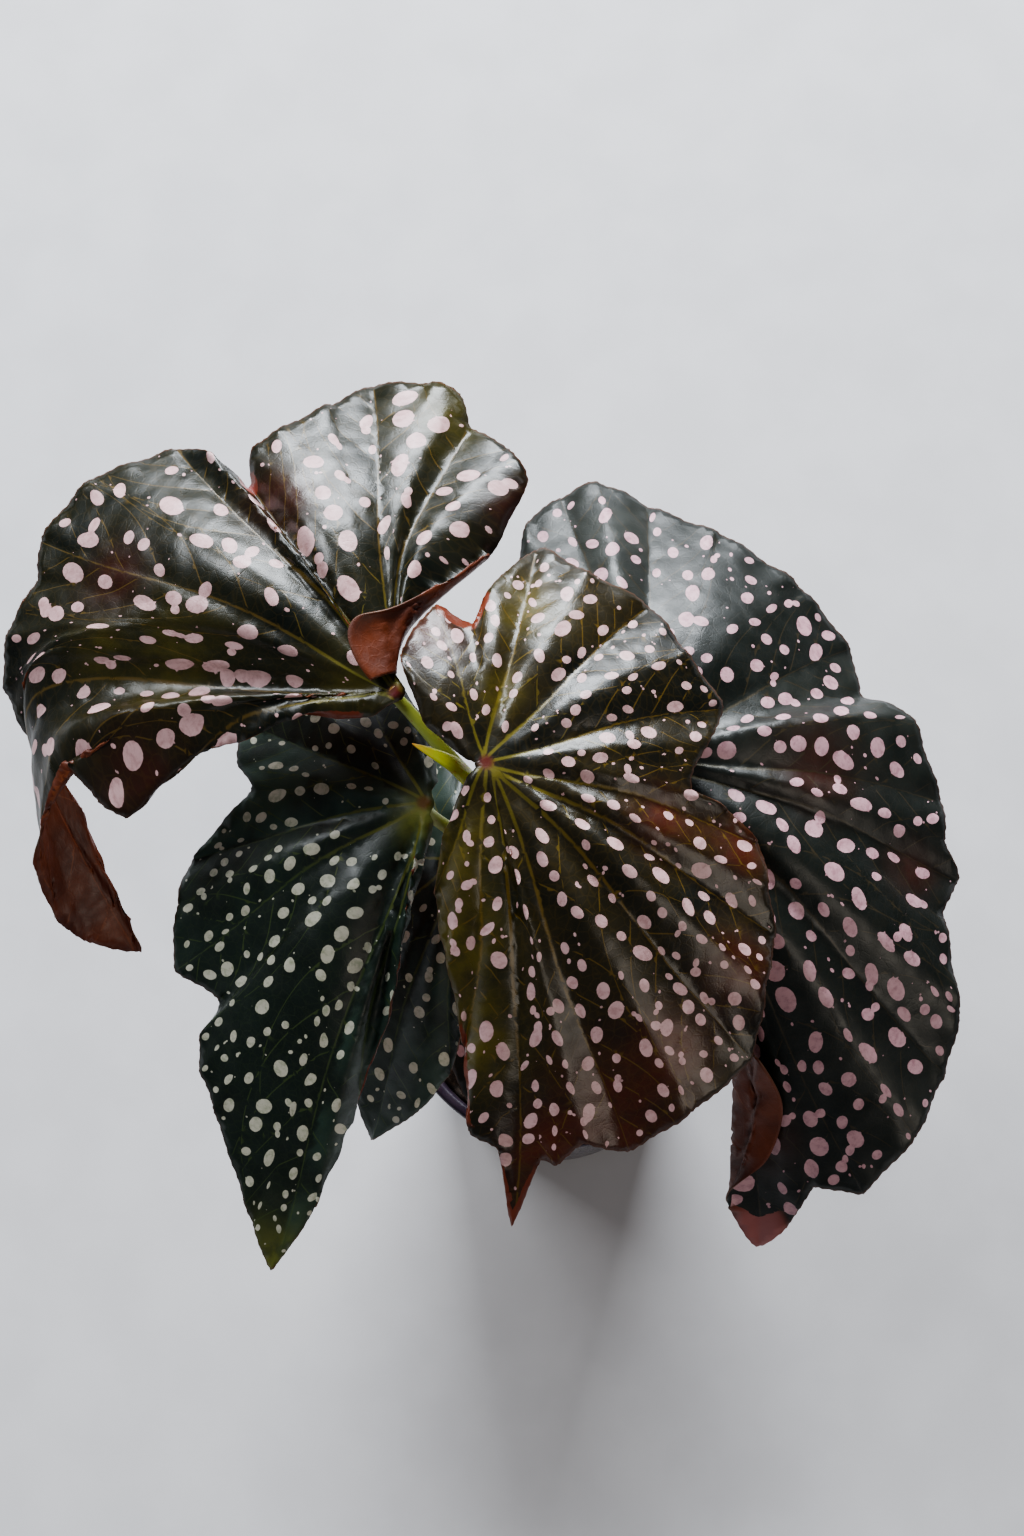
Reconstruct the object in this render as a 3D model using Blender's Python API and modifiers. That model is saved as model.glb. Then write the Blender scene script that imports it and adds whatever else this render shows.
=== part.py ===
"""A spotted cane begonia in a tapered pot: pot, soil, one cane with its leaf stalks, and six blades.

The origin is the centre of the pot's underside, +Z is up, and the plant is seen best from -Y.
Driving sizes are in millimetres and MM turns them into metres.
"""

import math
from collections import namedtuple

import bmesh
import bpy
import numpy as np
from mathutils import Vector
from mathutils.geometry import delaunay_2d_cdt

MM = 0.001
# Clearance between pieces that touch
GAP = 0.3

# Pot, turned about Z
POT_HEIGHT = 110
RIM_RADIUS = 55
BASE_RADIUS = 40
FLOOR_THICKNESS = 5
WALL = 4
RIM_ROUND = 1.6
BASE_ROUND = 2.5
TURNED_STEPS = 40

# Soil, which fills the pot to a little below its rim
SOIL_TOP = 97
SOIL_RINGS = 7
SOIL_BUMP = 1.6
# From the pot's outer wall to the soil, and how far the soil's edge lies lower
SOIL_INSET = 4.8
SOIL_EDGE_DROP = 2
# The hole cut for the cane ends this far above the soil
HOLE_RISE = 40

# The cane, with the swollen nodes that the leaf stalks grow from
CANE_FOOT = (-4, 3, 74)
CANE_TIP = (-25, 14, 286)
CANE_FOOT_RADIUS = 4.6
CANE_TIP_RADIUS = 2.6
NODE_HEIGHTS = (118, 158, 198, 232, 258, 280)
NODE_SWELL = 0.9
NODE_HALF_LENGTH = 5
STALK_FOOT_RADIUS = 2.3
STALK_TIP_RADIUS = 1.6
STALK_SIDES = 2

# Blades
BLADE_THICKNESS = 0.8
# The flat disc where a blade meets its stalk
JUNCTION_RADIUS = 3
JUNCTION_FADE = 4
# The most of a full turn that a blade takes up when it is flattened
MOST_SPREAD = math.radians(345)
MARGIN_STEP = 5.0
FIELD_STEP = 8.0
# How far a blade's outline is rounded at its margin points, and halfway out
MARGIN_SMOOTH = 0.5
HALFWAY_SMOOTH = 0.9
# A plain ray arches above the straight line to its margin point by this share of its reach
RAY_ARCH = 0.09
# The swell between two main veins, as a share of their distance apart, and its limit
PLEAT_SHARE = 0.085
PLEAT_LIMIT = 2.6
# The distance from the junction over which the swell grows
PLEAT_GROWTH = 38
TOOTH = 1.0
TOOTH_GROWTH = 30
TURN_ROWS = 3
# Past its crease a turned stretch first rises by up to this share of its width, and leans over by this one
FOLD_LIFT = 0.5
FOLD_LEAN = 0.1
# Points on the curve out along each half of a ray
RAY_STEPS = 12
# The even points on a blade keep these shares of their spacing clear of its margin and of other points
MARGIN_ROOM = 0.3
POINT_ROOM = 0.62

Ray = namedtuple("Ray", "bearing reach rise over is_vein")
# A turn that closes tapers to its end, and one that doesn't ends in a cut edge there
Turn = namedtuple("Turn", "start end edge lift closes")


def bay(bearing, reach, rise, over=None):
    """A margin point between veins: degrees from +X, and mm out from and up from the junction.

    over is the point, in the same terms, where a blade that curls bends over on its way out.
    """
    return Ray(bearing, reach, rise, over, False)


def vein(bearing, reach, rise, over=None):
    """The margin point at the end of a main vein."""
    return Ray(bearing, reach, rise, over, True)


# Each blade: the junction with its stalk, its margin clockwise from the gap at the stalk, and the
# stretches of margin that are turned over, from a start to an end through the points of the free edge
BLADES = {
    "leaf_upper_left": {
        "junction": (-48, 36, 300),
        "rays": [
            bay(-110, 4, -1),
            bay(-135, 9, -3),
            bay(-158, 16, -6),
            bay(-170, 27, -9),
            bay(-167, 42, -16, over=(-173, 21, -5)),
            bay(-169, 54, -22, over=(-175, 27, -6)),
            vein(-165, 68, -29, over=(-176, 36, -9)),
            bay(-161, 80, -33, over=(-177, 43, -12)),
            bay(-166, 87, -35, over=(-178, 50, -14)),
            bay(-174, 95, -34, over=(-179, 56, -15)),
            bay(-168, 104, -48, over=(-179.5, 72, -20)),
            bay(-163, 111, -62, over=(180, 86, -26)),
            bay(-157, 111, -78, over=(179, 96, -34)),
            bay(-153, 106, -86, over=(178, 101, -37)),
            vein(-148, 93, -93, over=(176, 104, -38)),
            bay(-153, 92, -86, over=(174, 106, -38)),
            bay(-160, 93, -80, over=(172, 106, -37)),
            bay(-170, 95, -72, over=(170, 105, -35)),
            bay(180, 106, -61, over=(168, 101, -30)),
            bay(172, 116, -48, over=(164, 89, -21)),
            bay(165, 117, -36, over=(160.5, 71, -12)),
            bay(157, 113, -28),
            vein(152, 117, -25),
            bay(142, 114, -22),
            vein(129, 104, -20),
            bay(125, 93, -15),
            vein(123, 79, -13),
            bay(118, 87, -10),
            bay(102, 95, -17),
            vein(95, 102, -21),
            bay(85, 101, -20, over=(90.5, 50, -4)),
            bay(80, 99, -20, over=(88.5, 49, -4)),
            vein(77, 89, -17, over=(87, 44, -3)),
            bay(68, 83, -13, over=(83, 40, -2)),
            bay(61, 75, -12, over=(80, 34, -3)),
            bay(59, 51, -9, over=(79, 20, -3)),
        ],
        "turns": [
            Turn((59, 51, -9), (86.5, 5, -1), [
                (62.5, 44, -5), (65.5, 37.5, -3), (71.5, 32.5, -1), (78, 27.5, 1.8), (97, 21.7, 5.5),
                (118, 22, 8), (131.5, 19.6, 7), (141, 15, 6), (153, 10.3, 5), (165, 6.7, 3.5)], 3, False),
        ],
    },
    "leaf_centre": {
        "junction": (-23, 13, 308),
        "rays": [
            bay(172, 5, 0),
            bay(148, 19, 1),
            bay(128, 37, 2),
            vein(107, 48, -3),
            bay(95, 41, -6),
            bay(91.5, 49, -9),
            bay(85, 59, -13),
            vein(78, 71, -19),
            bay(65, 66, -16),
            vein(49, 69, -19),
            bay(34, 66, -17),
            vein(19, 69, -20),
            bay(9, 61, -16),
            bay(2, 56, -16),
            bay(-3.5, 56, -16),
            bay(-6, 65, -20),
            vein(-11, 76, -26),
            bay(-20, 82, -29),
            vein(-26, 88, -33),
            bay(-35, 93, -33),
            vein(-45, 102, -41),
            bay(-57, 103, -44),
            vein(-68, 103, -51),
            bay(-74, 98, -48),
            bay(-79, 101, -54, over=(-76, 50, -18)),
            bay(-81.5, 99, -55, over=(-77.5, 50, -19)),
            vein(-86.5, 113, -68, over=(-80, 53, -20)),
            bay(-88, 95, -54, over=(-82, 47, -18)),
            bay(-93, 91, -51, over=(-87, 44, -17)),
            vein(-95, 70, -38, over=(-92, 35, -13)),
            bay(-104, 47, -27),
            vein(-114, 34, -20),
            bay(-124, 20, -11),
            bay(-146, 6, -2),
        ],
        "turns": [],
    },
    "leaf_right": {
        "junction": (19, 23, 283),
        "rays": [
            bay(155, 6, -1),
            bay(130, 20, -4),
            bay(121, 46, -11),
            bay(117, 72, -19),
            bay(111, 85, -23),
            vein(103, 91, -25),
            bay(96, 93, -26),
            vein(86, 86, -26),
            bay(72, 81, -26),
            bay(51, 78, -28),
            vein(34, 77, -31),
            bay(23, 72, -31),
            bay(15, 83, -31),
            vein(-1, 89, -36),
            bay(-9, 91, -39),
            vein(-14, 97, -43),
            bay(-21, 95, -41),
            bay(-34, 112, -48),
            vein(-41, 118, -55),
            bay(-50, 125, -60),
            vein(-59, 128, -70),
            bay(-64, 120, -74, over=(-61, 61, -26)),
            bay(-69, 126, -88, over=(-62, 64, -30)),
            vein(-73, 127, -95, over=(-63, 64, -32)),
            bay(-75.5, 115, -86, over=(-64.5, 60, -30)),
            bay(-71.8, 104, -71, over=(-65.5, 54, -26)),
            bay(-68, 93, -55, over=(-67, 47, -20)),
            bay(-67, 80, -38, over=(-69, 40, -14)),
            vein(-73, 59, -22),
            bay(-84, 34, -11),
            bay(-104, 15, -4),
            bay(-135, 6, -1),
        ],
        "turns": [
            Turn((-75.5, 115, -86), (-67, 80, -38), [
                (-75.5, 112, -76), (-69, 108, -64), (-64.5, 98, -50), (-66, 86, -36)], 2, True),
        ],
    },
    "leaf_lower_left": {
        "junction": (-41, 16, 262),
        "rays": [
            bay(-62, 6, -2),
            bay(-89, 16, -5),
            bay(-97.5, 30, -12),
            bay(-99.5, 46, -20),
            bay(-100.5, 58, -29),
            bay(-103.6, 72, -41),
            vein(-104.6, 84, -49),
            bay(-107.5, 111, -66),
            vein(-111, 129, -78),
            bay(-115, 121, -71),
            bay(-129, 99, -53),
            bay(-134.5, 94, -49),
            bay(-138.5, 88, -45),
            bay(-141, 77, -38),
            vein(-152, 83, -39),
            bay(-163, 76, -34),
            vein(-173, 69, -29),
            bay(170, 51, -18),
            bay(162, 58, -21),
            vein(150, 62, -23),
            bay(134, 59, -22),
            vein(116, 53, -21),
            bay(102, 42, -15),
            bay(88, 24, -7),
            bay(60, 8, -2),
        ],
        "turns": [],
    },
    "leaf_low": {
        "junction": (-34, 9, 225),
        "rays": [
            bay(-40, 6, -2),
            bay(-66, 18, -10),
            bay(-80, 34, -25),
            vein(-91, 53, -48),
            bay(-100, 64, -62),
            vein(-111, 73, -76),
            bay(-120, 62, -66),
            bay(-127, 50, -56),
            vein(-146, 42, -44),
            bay(-168, 35, -35),
            vein(163, 32, -29),
            bay(135, 33, -22),
            vein(104, 42, -19),
            bay(88, 34, -12),
            bay(70, 18, -5),
            bay(40, 6, -2),
        ],
        "turns": [],
    },
    "leaf_front": {
        "junction": (10, 8, 192),
        "rays": [
            bay(95, 6, -1),
            bay(60, 12, -3),
            bay(34, 24, -9),
            vein(2, 34, -20),
            bay(-24, 39, -28),
            vein(-50, 52, -40),
            bay(-74, 60, -46),
            vein(-97, 68, -50),
            bay(-112, 66, -40),
            vein(-124, 70, -34),
            bay(-138, 62, -26),
            bay(-152, 42, -16),
            bay(-166, 20, -7),
            bay(170, 6, -2),
        ],
        "turns": [],
    },
}

# Each leaf stalk: from its node on the cane, through points in mm, to under its blade's junction
STALKS = {
    "leaf_upper_left": (280, [(-33, 21, 288), (-43, 31, 294)]),
    "leaf_centre": (284, [(-25, 14, 293)]),
    "leaf_right": (258, [(-12, 14, 262), (10, 20, 273)]),
    "leaf_lower_left": (232, [(-27, 11, 238), (-38, 15, 250)]),
    "leaf_low": (198, [(-22, 8, 204), (-32, 9, 214)]),
    "leaf_front": (158, [(-3, 12, 166), (8, 10, 180)]),
}

# Pointed sheaths at the growing tip: root, middle, point and greatest radius in mm
SHEATHS = (
    ((-26, 14, 283), (-33, 17, 296), (-42, 21, 302), 2.3),
    ((-24, 13, 284), (-19, 6, 290), (-17, 1, 297), 1.5),
)

# A sheath's radius follows a sine from this share of its length, fullest low down, to this least radius
SHEATH_START = 0.12
SHEATH_BELLY = 0.7
SHEATH_POINT = 0.3

LEAF_GREEN, LEAF_ROUGHNESS = (0.035, 0.05, 0.03), 0.3
STALK_GREEN, STALK_ROUGHNESS = (0.3, 0.36, 0.08), 0.4
POT_GLAZE, POT_ROUGHNESS = (0.03, 0.022, 0.035), 0.3
SOIL_BROWN, SOIL_ROUGHNESS = (0.03, 0.02, 0.014), 0.95


def clear_scene():
    for obj in list(bpy.data.objects):
        bpy.data.objects.remove(obj, do_unlink=True)


def new_collection(name):
    collection = bpy.data.collections.new(name)
    bpy.context.scene.collection.children.link(collection)
    return collection


def material(name, colour, roughness):
    made = bpy.data.materials.new(name)
    made.use_nodes = True
    shader = made.node_tree.nodes["Principled BSDF"]
    shader.inputs["Base Color"].default_value = (*colour, 1)
    shader.inputs["Roughness"].default_value = roughness
    return made


def add_object(name, mesh, collection, finish=None):
    obj = bpy.data.objects.new(name, mesh)
    collection.objects.link(obj)
    if finish:
        mesh.materials.append(finish)
    return obj


def mesh_from(name, points, faces):
    mesh = bpy.data.meshes.new(name)
    mesh.from_pydata([[value * MM for value in point] for point in points], [], faces)
    mesh.update()
    return mesh


def polar(bearing, reach):
    angle = math.radians(bearing)
    return reach * math.cos(angle), reach * math.sin(angle)


def place(junction, bearing, reach, rise):
    x, y = polar(bearing, reach)
    return np.array(junction, float) + (x, y, rise)


# Pot and soil


def round_corner(centre_r, centre_z, radius, start, end, count):
    """Points (r, z) of an arc, with its angles in degrees from +R."""
    angles = np.radians(np.linspace(start, end, count))
    return [(centre_r + radius * math.cos(a), centre_z + radius * math.sin(a)) for a in angles]


def turned(name, profile, collection, finish):
    """A profile of (r, z), down its outer side, turned about Z."""
    points = [(r, 0, z) for r, z in profile]
    edges = [(i, i + 1) for i in range(len(points) - 1)]
    mesh = bpy.data.meshes.new(name)
    mesh.from_pydata([[value * MM for value in point] for point in points], edges, [])
    obj = add_object(name, mesh, collection, finish)
    screw = obj.modifiers.new("turn", "SCREW")
    screw.steps = screw.render_steps = TURNED_STEPS
    screw.use_merge_vertices = True
    screw.merge_threshold = 0.00001
    screw.use_smooth_shade = True
    return obj


def wall_radius(height):
    """The pot's outer radius at a height."""
    return BASE_RADIUS + (RIM_RADIUS - BASE_RADIUS) * height / POT_HEIGHT


def make_pot(collection):
    rim_z = POT_HEIGHT - RIM_ROUND
    outer = RIM_RADIUS
    inner = RIM_RADIUS - WALL
    profile = [(inner + RIM_ROUND, POT_HEIGHT)]
    profile += round_corner(outer - RIM_ROUND, rim_z, RIM_ROUND, 90, 0, 4)
    profile += [(wall_radius(BASE_ROUND), BASE_ROUND)]
    profile += round_corner(BASE_RADIUS - BASE_ROUND, BASE_ROUND, BASE_ROUND, -15, -90, 4)
    profile += [(0, 0)]
    # Up the inside, from the middle of the floor to the rim
    profile += [(0, FLOOR_THICKNESS), (wall_radius(FLOOR_THICKNESS) - WALL, FLOOR_THICKNESS)]
    profile += round_corner(inner + RIM_ROUND, rim_z, RIM_ROUND, 180, 105, 3)
    profile += [(inner + RIM_ROUND, POT_HEIGHT)]
    return turned("pot", profile, collection, material("pot_glaze", POT_GLAZE, POT_ROUGHNESS))


def soil_height(x, y):
    """The crumbled surface: a few waves of unlike length, flat towards the pot's wall."""
    wave = math.sin(0.31 * x + 0.7) * math.cos(0.27 * y - 0.4) + 0.6 * math.sin(0.53 * y - 0.38 * x + 2)
    return SOIL_TOP + SOIL_BUMP * wave


def make_soil(collection, cutters):
    """Rings from the middle of the top, over the edge, down the pot's wall to the middle of its floor."""
    edge = wall_radius(SOIL_TOP) - SOIL_INSET
    points = [(0, 0, soil_height(0, 0))]
    for ring in range(1, SOIL_RINGS + 1):
        radius = edge * ring / SOIL_RINGS
        for step in range(TURNED_STEPS):
            x, y = polar(360 * step / TURNED_STEPS, radius)
            points.append((x, y, soil_height(x, y) - (SOIL_EDGE_DROP if ring == SOIL_RINGS else 0)))
    floor = FLOOR_THICKNESS + GAP
    for step in range(TURNED_STEPS):
        points.append((*polar(360 * step / TURNED_STEPS, wall_radius(floor) - SOIL_INSET), floor))
    points.append((0, 0, floor))
    last = len(points) - 1
    faces = []
    for step in range(TURNED_STEPS):
        here, beside = 1 + step, 1 + (step + 1) % TURNED_STEPS
        faces.append((0, here, beside))
        for ring in range(SOIL_RINGS):
            down = ring * TURNED_STEPS
            corners = [here, here + TURNED_STEPS, beside + TURNED_STEPS, beside]
            faces.append([corner + down for corner in corners])
        bottom = SOIL_RINGS * TURNED_STEPS
        faces.append((last, beside + bottom, here + bottom))
    finish = material("soil", SOIL_BROWN, SOIL_ROUGHNESS)
    soil = add_object("soil", mesh_from("soil", points, faces), collection, finish)
    foot, above = Vector(CANE_FOOT), cane_at(SOIL_TOP + HOLE_RISE)
    hole = rod("cane_hole", [foot - Vector((0, 0, GAP)), above],
               [CANE_FOOT_RADIUS + GAP, CANE_FOOT_RADIUS + GAP], cutters, sides=3)
    hole.hide_render = True
    hole.display_type = "WIRE"
    cut(soil, hole, "DIFFERENCE")
    return soil


# Cane


def rod(name, points, radii, collection, sides=STALK_SIDES):
    """A round rod along points in mm, as a closed mesh."""
    curve = bpy.data.curves.new(name, "CURVE")
    curve.dimensions = "3D"
    curve.bevel_depth = MM
    curve.bevel_resolution = sides
    curve.use_fill_caps = True
    spline = curve.splines.new("POLY")
    spline.points.add(len(points) - 1)
    for control, point, radius in zip(spline.points, points, radii):
        control.co = (*(value * MM for value in point), 1)
        control.radius = radius
    guide = bpy.data.objects.new(name + "_curve", curve)
    collection.objects.link(guide)
    evaluated = guide.evaluated_get(bpy.context.evaluated_depsgraph_get())
    mesh = bpy.data.meshes.new_from_object(evaluated)
    bpy.data.objects.remove(guide, do_unlink=True)
    bm = bmesh.new()
    bm.from_mesh(mesh)
    bmesh.ops.remove_doubles(bm, verts=bm.verts, dist=0.00001)
    bm.to_mesh(mesh)
    bm.free()
    mesh.name = name
    return add_object(name, mesh, collection)


def cut(obj, other, operation):
    boolean = obj.modifiers.new(other.name, "BOOLEAN")
    boolean.operation = operation
    boolean.object = other


def smooth_route(points, spacing):
    """Points about spacing mm apart on a smooth curve through these."""
    points = [Vector(point) for point in points]
    route = []
    for i in range(len(points) - 1):
        before, start = points[max(i - 1, 0)], points[i]
        end, after = points[i + 1], points[min(i + 2, len(points) - 1)]
        count = max(1, round((end - start).length / spacing))
        for k in range(count):
            t = k / count
            out, back = (end - before) / 2, (after - start) / 2
            route.append(start * (2 * t**3 - 3 * t**2 + 1) + out * (t**3 - 2 * t**2 + t)
                         + end * (3 * t**2 - 2 * t**3) + back * (t**3 - t**2))
    route.append(points[-1])
    return route


def cane_at(height):
    """The middle of the cane at a height."""
    share = (height - CANE_FOOT[2]) / (CANE_TIP[2] - CANE_FOOT[2])
    return Vector(CANE_FOOT).lerp(Vector(CANE_TIP), share)


def cane_radius(height):
    share = (height - CANE_FOOT[2]) / (CANE_TIP[2] - CANE_FOOT[2])
    radius = CANE_FOOT_RADIUS + (CANE_TIP_RADIUS - CANE_FOOT_RADIUS) * share
    nearest = min(abs(height - node) for node in NODE_HEIGHTS)
    return radius + NODE_SWELL * max(0, 1 - nearest / NODE_HALF_LENGTH)


def make_cane(collection):
    """The cane, its leaf stalks and the sheaths at its tip, joined in one solid."""
    heights = {CANE_FOOT[2], CANE_TIP[2]}
    for node in NODE_HEIGHTS:
        heights |= {node - NODE_HALF_LENGTH, node, min(node + NODE_HALF_LENGTH, CANE_TIP[2] - 1)}
    heights = sorted(heights)
    cane = rod("cane", [cane_at(h) for h in heights], [cane_radius(h) for h in heights], collection, sides=3)
    cane.data.materials.append(material("stalk", STALK_GREEN, STALK_ROUGHNESS))
    branches = new_collection("branches")
    for name, (height, route) in STALKS.items():
        tip = Vector(BLADES[name]["junction"]) - Vector((0, 0, BLADE_THICKNESS + GAP))
        below = tip - Vector((0, 0, 3))
        points = smooth_route([cane_at(height), *route, below, tip], 7)
        shares = np.linspace(0, 1, len(points))
        radii = [STALK_FOOT_RADIUS + (STALK_TIP_RADIUS - STALK_FOOT_RADIUS) * share for share in shares]
        rod(name + "_stalk", points, radii, branches)
    for number, (root, middle, point, radius) in enumerate(SHEATHS):
        points = smooth_route([root, middle, point], 5)
        shares = np.linspace(SHEATH_START, 1, len(points))
        radii = [radius * math.sin(math.pi * share**SHEATH_BELLY) + SHEATH_POINT for share in shares]
        rod(f"sheath_{number}", points, radii, branches)
    boolean = cane.modifiers.new("branches", "BOOLEAN")
    boolean.operation = "UNION"
    boolean.operand_type = "COLLECTION"
    boolean.collection = branches
    apply_modifiers(cane)
    for branch in list(branches.objects):
        bpy.data.objects.remove(branch, do_unlink=True)
    bpy.data.collections.remove(branches)
    cane.data.shade_smooth()
    return cane


def apply_modifiers(obj):
    evaluated = obj.evaluated_get(bpy.context.evaluated_depsgraph_get())
    mesh = bpy.data.meshes.new_from_object(evaluated)
    obj.modifiers.clear()
    obj.data = mesh
    mesh.name = obj.name


# Blades


def between(points, i, t, smooth):
    """Points at shares t from points[i] to the next, on a curve that turns at each point by smooth."""
    last = len(points) - 1
    start, end = points[i], points[i + 1]
    out = smooth * (end - points[np.maximum(i - 1, 0)]) / 2
    back = smooth * (points[np.minimum(i + 2, last)] - start) / 2
    t = np.asarray(t, float)[..., None]
    return (start * (2 * t**3 - 3 * t**2 + 1) + out * (t**3 - 2 * t**2 + t)
            + end * (3 * t**2 - 2 * t**3) + back * (t**3 - t**2))


def distances(points):
    """The distance along a line of points at each of them."""
    return np.concatenate([[0], np.cumsum(np.linalg.norm(np.diff(points, axis=0), axis=1))])


def flat_place(bearing, distance):
    return np.stack([np.cos(bearing), np.sin(bearing)], axis=1) * distance[:, None]


def middles(values):
    return (values[1:] + values[:-1]) / 2


def across(points, directions):
    """How far each point is from the next, square to the rays' directions."""
    directions = middles(directions)
    directions /= np.linalg.norm(directions, axis=1, keepdims=True)
    steps = np.diff(points, axis=0)
    return np.linalg.norm(steps - (steps * directions).sum(axis=1, keepdims=True) * directions, axis=1)


class Sheet:
    """The upper surface of a blade, found from a bearing at the junction and a distance from it.

    A flat leaf has the same bearings and distances, so they also give each point's place on it.
    """

    def __init__(self, blade):
        self.junction = np.array(blade["junction"], float)
        rays = blade["rays"]
        self.margin = np.array([place(self.junction, ray.bearing, ray.reach, ray.rise) for ray in rays])
        self.halfway = (self.margin + self.junction) / 2
        for i, ray in enumerate(rays):
            self.halfway[i, 2] += RAY_ARCH * ray.reach
            if ray.over:
                self.halfway[i] = place(self.junction, *ray.over)
        out, on = self.halfway - self.junction, self.margin - self.halfway
        self.true_bearings = np.unwrap(np.arctan2(out[:, 1], out[:, 0]))
        # Flattened, each sector is as wide as the leaf is there, halfway out and at the margin
        reach = np.linalg.norm(out, axis=1)
        angles = (across(self.halfway, out) / middles(reach)
                  + across(self.margin, on) / middles(reach + np.linalg.norm(on, axis=1))) / 2
        angles *= min(1, MOST_SPREAD / angles.sum())
        self.bearings = self.true_bearings[0] - np.concatenate([[0], np.cumsum(angles)])
        self.run = distances(self.margin)
        self.veins = [i for i, ray in enumerate(rays) if ray.is_vein]
        self.pleats = self.run[[0, *self.veins, len(rays) - 1]]

    def locate(self, bearing):
        """The ray before each bearing, and the share of the way to the next."""
        i = np.clip(np.searchsorted(-self.bearings, -bearing) - 1, 0, len(self.bearings) - 2)
        return i, (self.bearings[i] - bearing) / (self.bearings[i] - self.bearings[i + 1])

    def curves(self, bearing):
        """The curve out along each bearing, and the distance along it at each of its points."""
        i, t = self.locate(bearing)
        halfway = between(self.halfway, i, t, HALFWAY_SMOOTH)
        margin = between(self.margin, i, t, MARGIN_SMOOTH)
        bends = np.stack([np.broadcast_to(self.junction, margin.shape), halfway, margin])
        curve = np.stack([between(bends, half, np.full(len(margin), share), 1)
                          for half in (0, 1) for share in np.linspace(0, 1, RAY_STEPS + 1)[half:]], axis=1)
        steps = np.linalg.norm(np.diff(curve, axis=1), axis=2)
        return curve, np.concatenate([np.zeros((len(curve), 1)), np.cumsum(steps, axis=1)], axis=1)

    def lengths(self, bearing):
        return self.curves(bearing)[1][:, -1]

    def swell(self, bearing, distance):
        """How far the blade swells between two veins."""
        i, t = self.locate(bearing)
        here = self.run[i] + t * (self.run[i + 1] - self.run[i])
        pleat = np.clip(np.searchsorted(self.pleats, here) - 1, 0, len(self.pleats) - 2)
        start, width = self.pleats[pleat], self.pleats[pleat + 1] - self.pleats[pleat]
        height = np.minimum(PLEAT_LIMIT, PLEAT_SHARE * width) * (1 - np.exp(-(distance / PLEAT_GROWTH) ** 2))
        return height * np.sin(np.pi * np.clip((here - start) / width, 0, 1))

    def points(self, bearing, distance):
        """The points at these bearings in radians and distances in mm, which may be past the margin."""
        curve, run = self.curves(bearing)
        rows = np.arange(len(curve))
        k = np.clip((run < distance[:, None]).sum(axis=1) - 1, 0, run.shape[1] - 2)
        share = ((distance - run[rows, k]) / (run[rows, k + 1] - run[rows, k]))[:, None]
        points = curve[rows, k] * (1 - share) + curve[rows, k + 1] * share
        points[:, 2] += self.swell(bearing, distance)
        # Level at the junction, where the stalk meets the blade
        level = np.exp(-(np.maximum(distance - JUNCTION_RADIUS, 0) / JUNCTION_FADE) ** 2)
        points[:, 2] += level * (self.junction[2] - points[:, 2])
        # On the stalk's side of the junction there is only its flat disc
        share = (self.bearings[-1] - bearing) / (math.tau - self.bearings[0] + self.bearings[-1])
        turn = self.true_bearings[-1] - share * (math.tau - self.true_bearings[0] + self.true_bearings[-1])
        disc = flat_place(turn, distance) + self.junction[:2]
        beyond = bearing < self.bearings[-1]
        points[beyond, :2] = disc[beyond]
        points[beyond, 2] = self.junction[2]
        return points


def outline(sheet):
    """(bearing, distance) all along the margin, down the last ray and round the junction's gap side."""
    bearings = [sheet.bearings[0]]
    for i in range(len(sheet.margin) - 1):
        count = max(1, round((sheet.run[i + 1] - sheet.run[i]) / MARGIN_STEP))
        bearings += list(np.linspace(sheet.bearings[i], sheet.bearings[i + 1], count + 1)[1:])
    bearings = np.array(bearings)
    lengths = sheet.lengths(bearings)
    lengths[1:-1:2] += TOOTH * np.clip(lengths[1:-1:2] / TOOTH_GROWTH, 0, 1)
    down = np.arange(lengths[-1] - MARGIN_STEP, MARGIN_STEP, -MARGIN_STEP)
    gap = math.tau - (sheet.bearings[0] - sheet.bearings[-1])
    gap = sheet.bearings[-1] - gap * np.array([0.25, 0.5, 0.75])
    return (np.concatenate([bearings, np.full(len(down), sheet.bearings[-1]), gap]),
            np.concatenate([lengths, down, np.full(3, JUNCTION_RADIUS)]))


def vein_points(sheet, spacing):
    """(bearing, distance) along each main vein, one list for each."""
    for i in sheet.veins:
        bearing = sheet.bearings[i:i + 1]
        length = sheet.lengths(bearing)[0]
        count = max(2, round(length / spacing))
        out = length * np.arange(1, count) / count
        out = np.append(JUNCTION_RADIUS, out[out > JUNCTION_RADIUS + spacing / 3])
        yield np.full(len(out), bearing[0]), out


def field_points(sheet, fixed, spacing):
    """(bearing, distance) of an even field of points inside the outline, clear of the fixed ones."""
    longest = sheet.lengths(sheet.bearings).max()
    rows = np.arange(-longest, longest, spacing * math.sqrt(0.75))
    columns = np.arange(-longest, longest, spacing)
    field = np.array([(x + spacing / 2 * (k % 2), y) for k, y in enumerate(rows) for x in columns])
    distance = np.linalg.norm(field, axis=1)
    bearing = np.arctan2(field[:, 1], field[:, 0])
    middle = (sheet.bearings[0] + sheet.bearings[-1]) / 2
    bearing += math.tau * np.round((middle - bearing) / math.tau)
    inside = (bearing < sheet.bearings[0]) & (bearing > sheet.bearings[-1]) & (distance > spacing / 2)
    bearing, distance, field = bearing[inside], distance[inside], field[inside]
    inside = distance < sheet.lengths(bearing) - spacing * MARGIN_ROOM
    bearing, distance, field = bearing[inside], distance[inside], field[inside]
    nearest = np.array([np.linalg.norm(fixed - point, axis=1).min() for point in field])
    clear = nearest > spacing * POINT_ROOM
    return bearing[clear], distance[clear]


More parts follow.
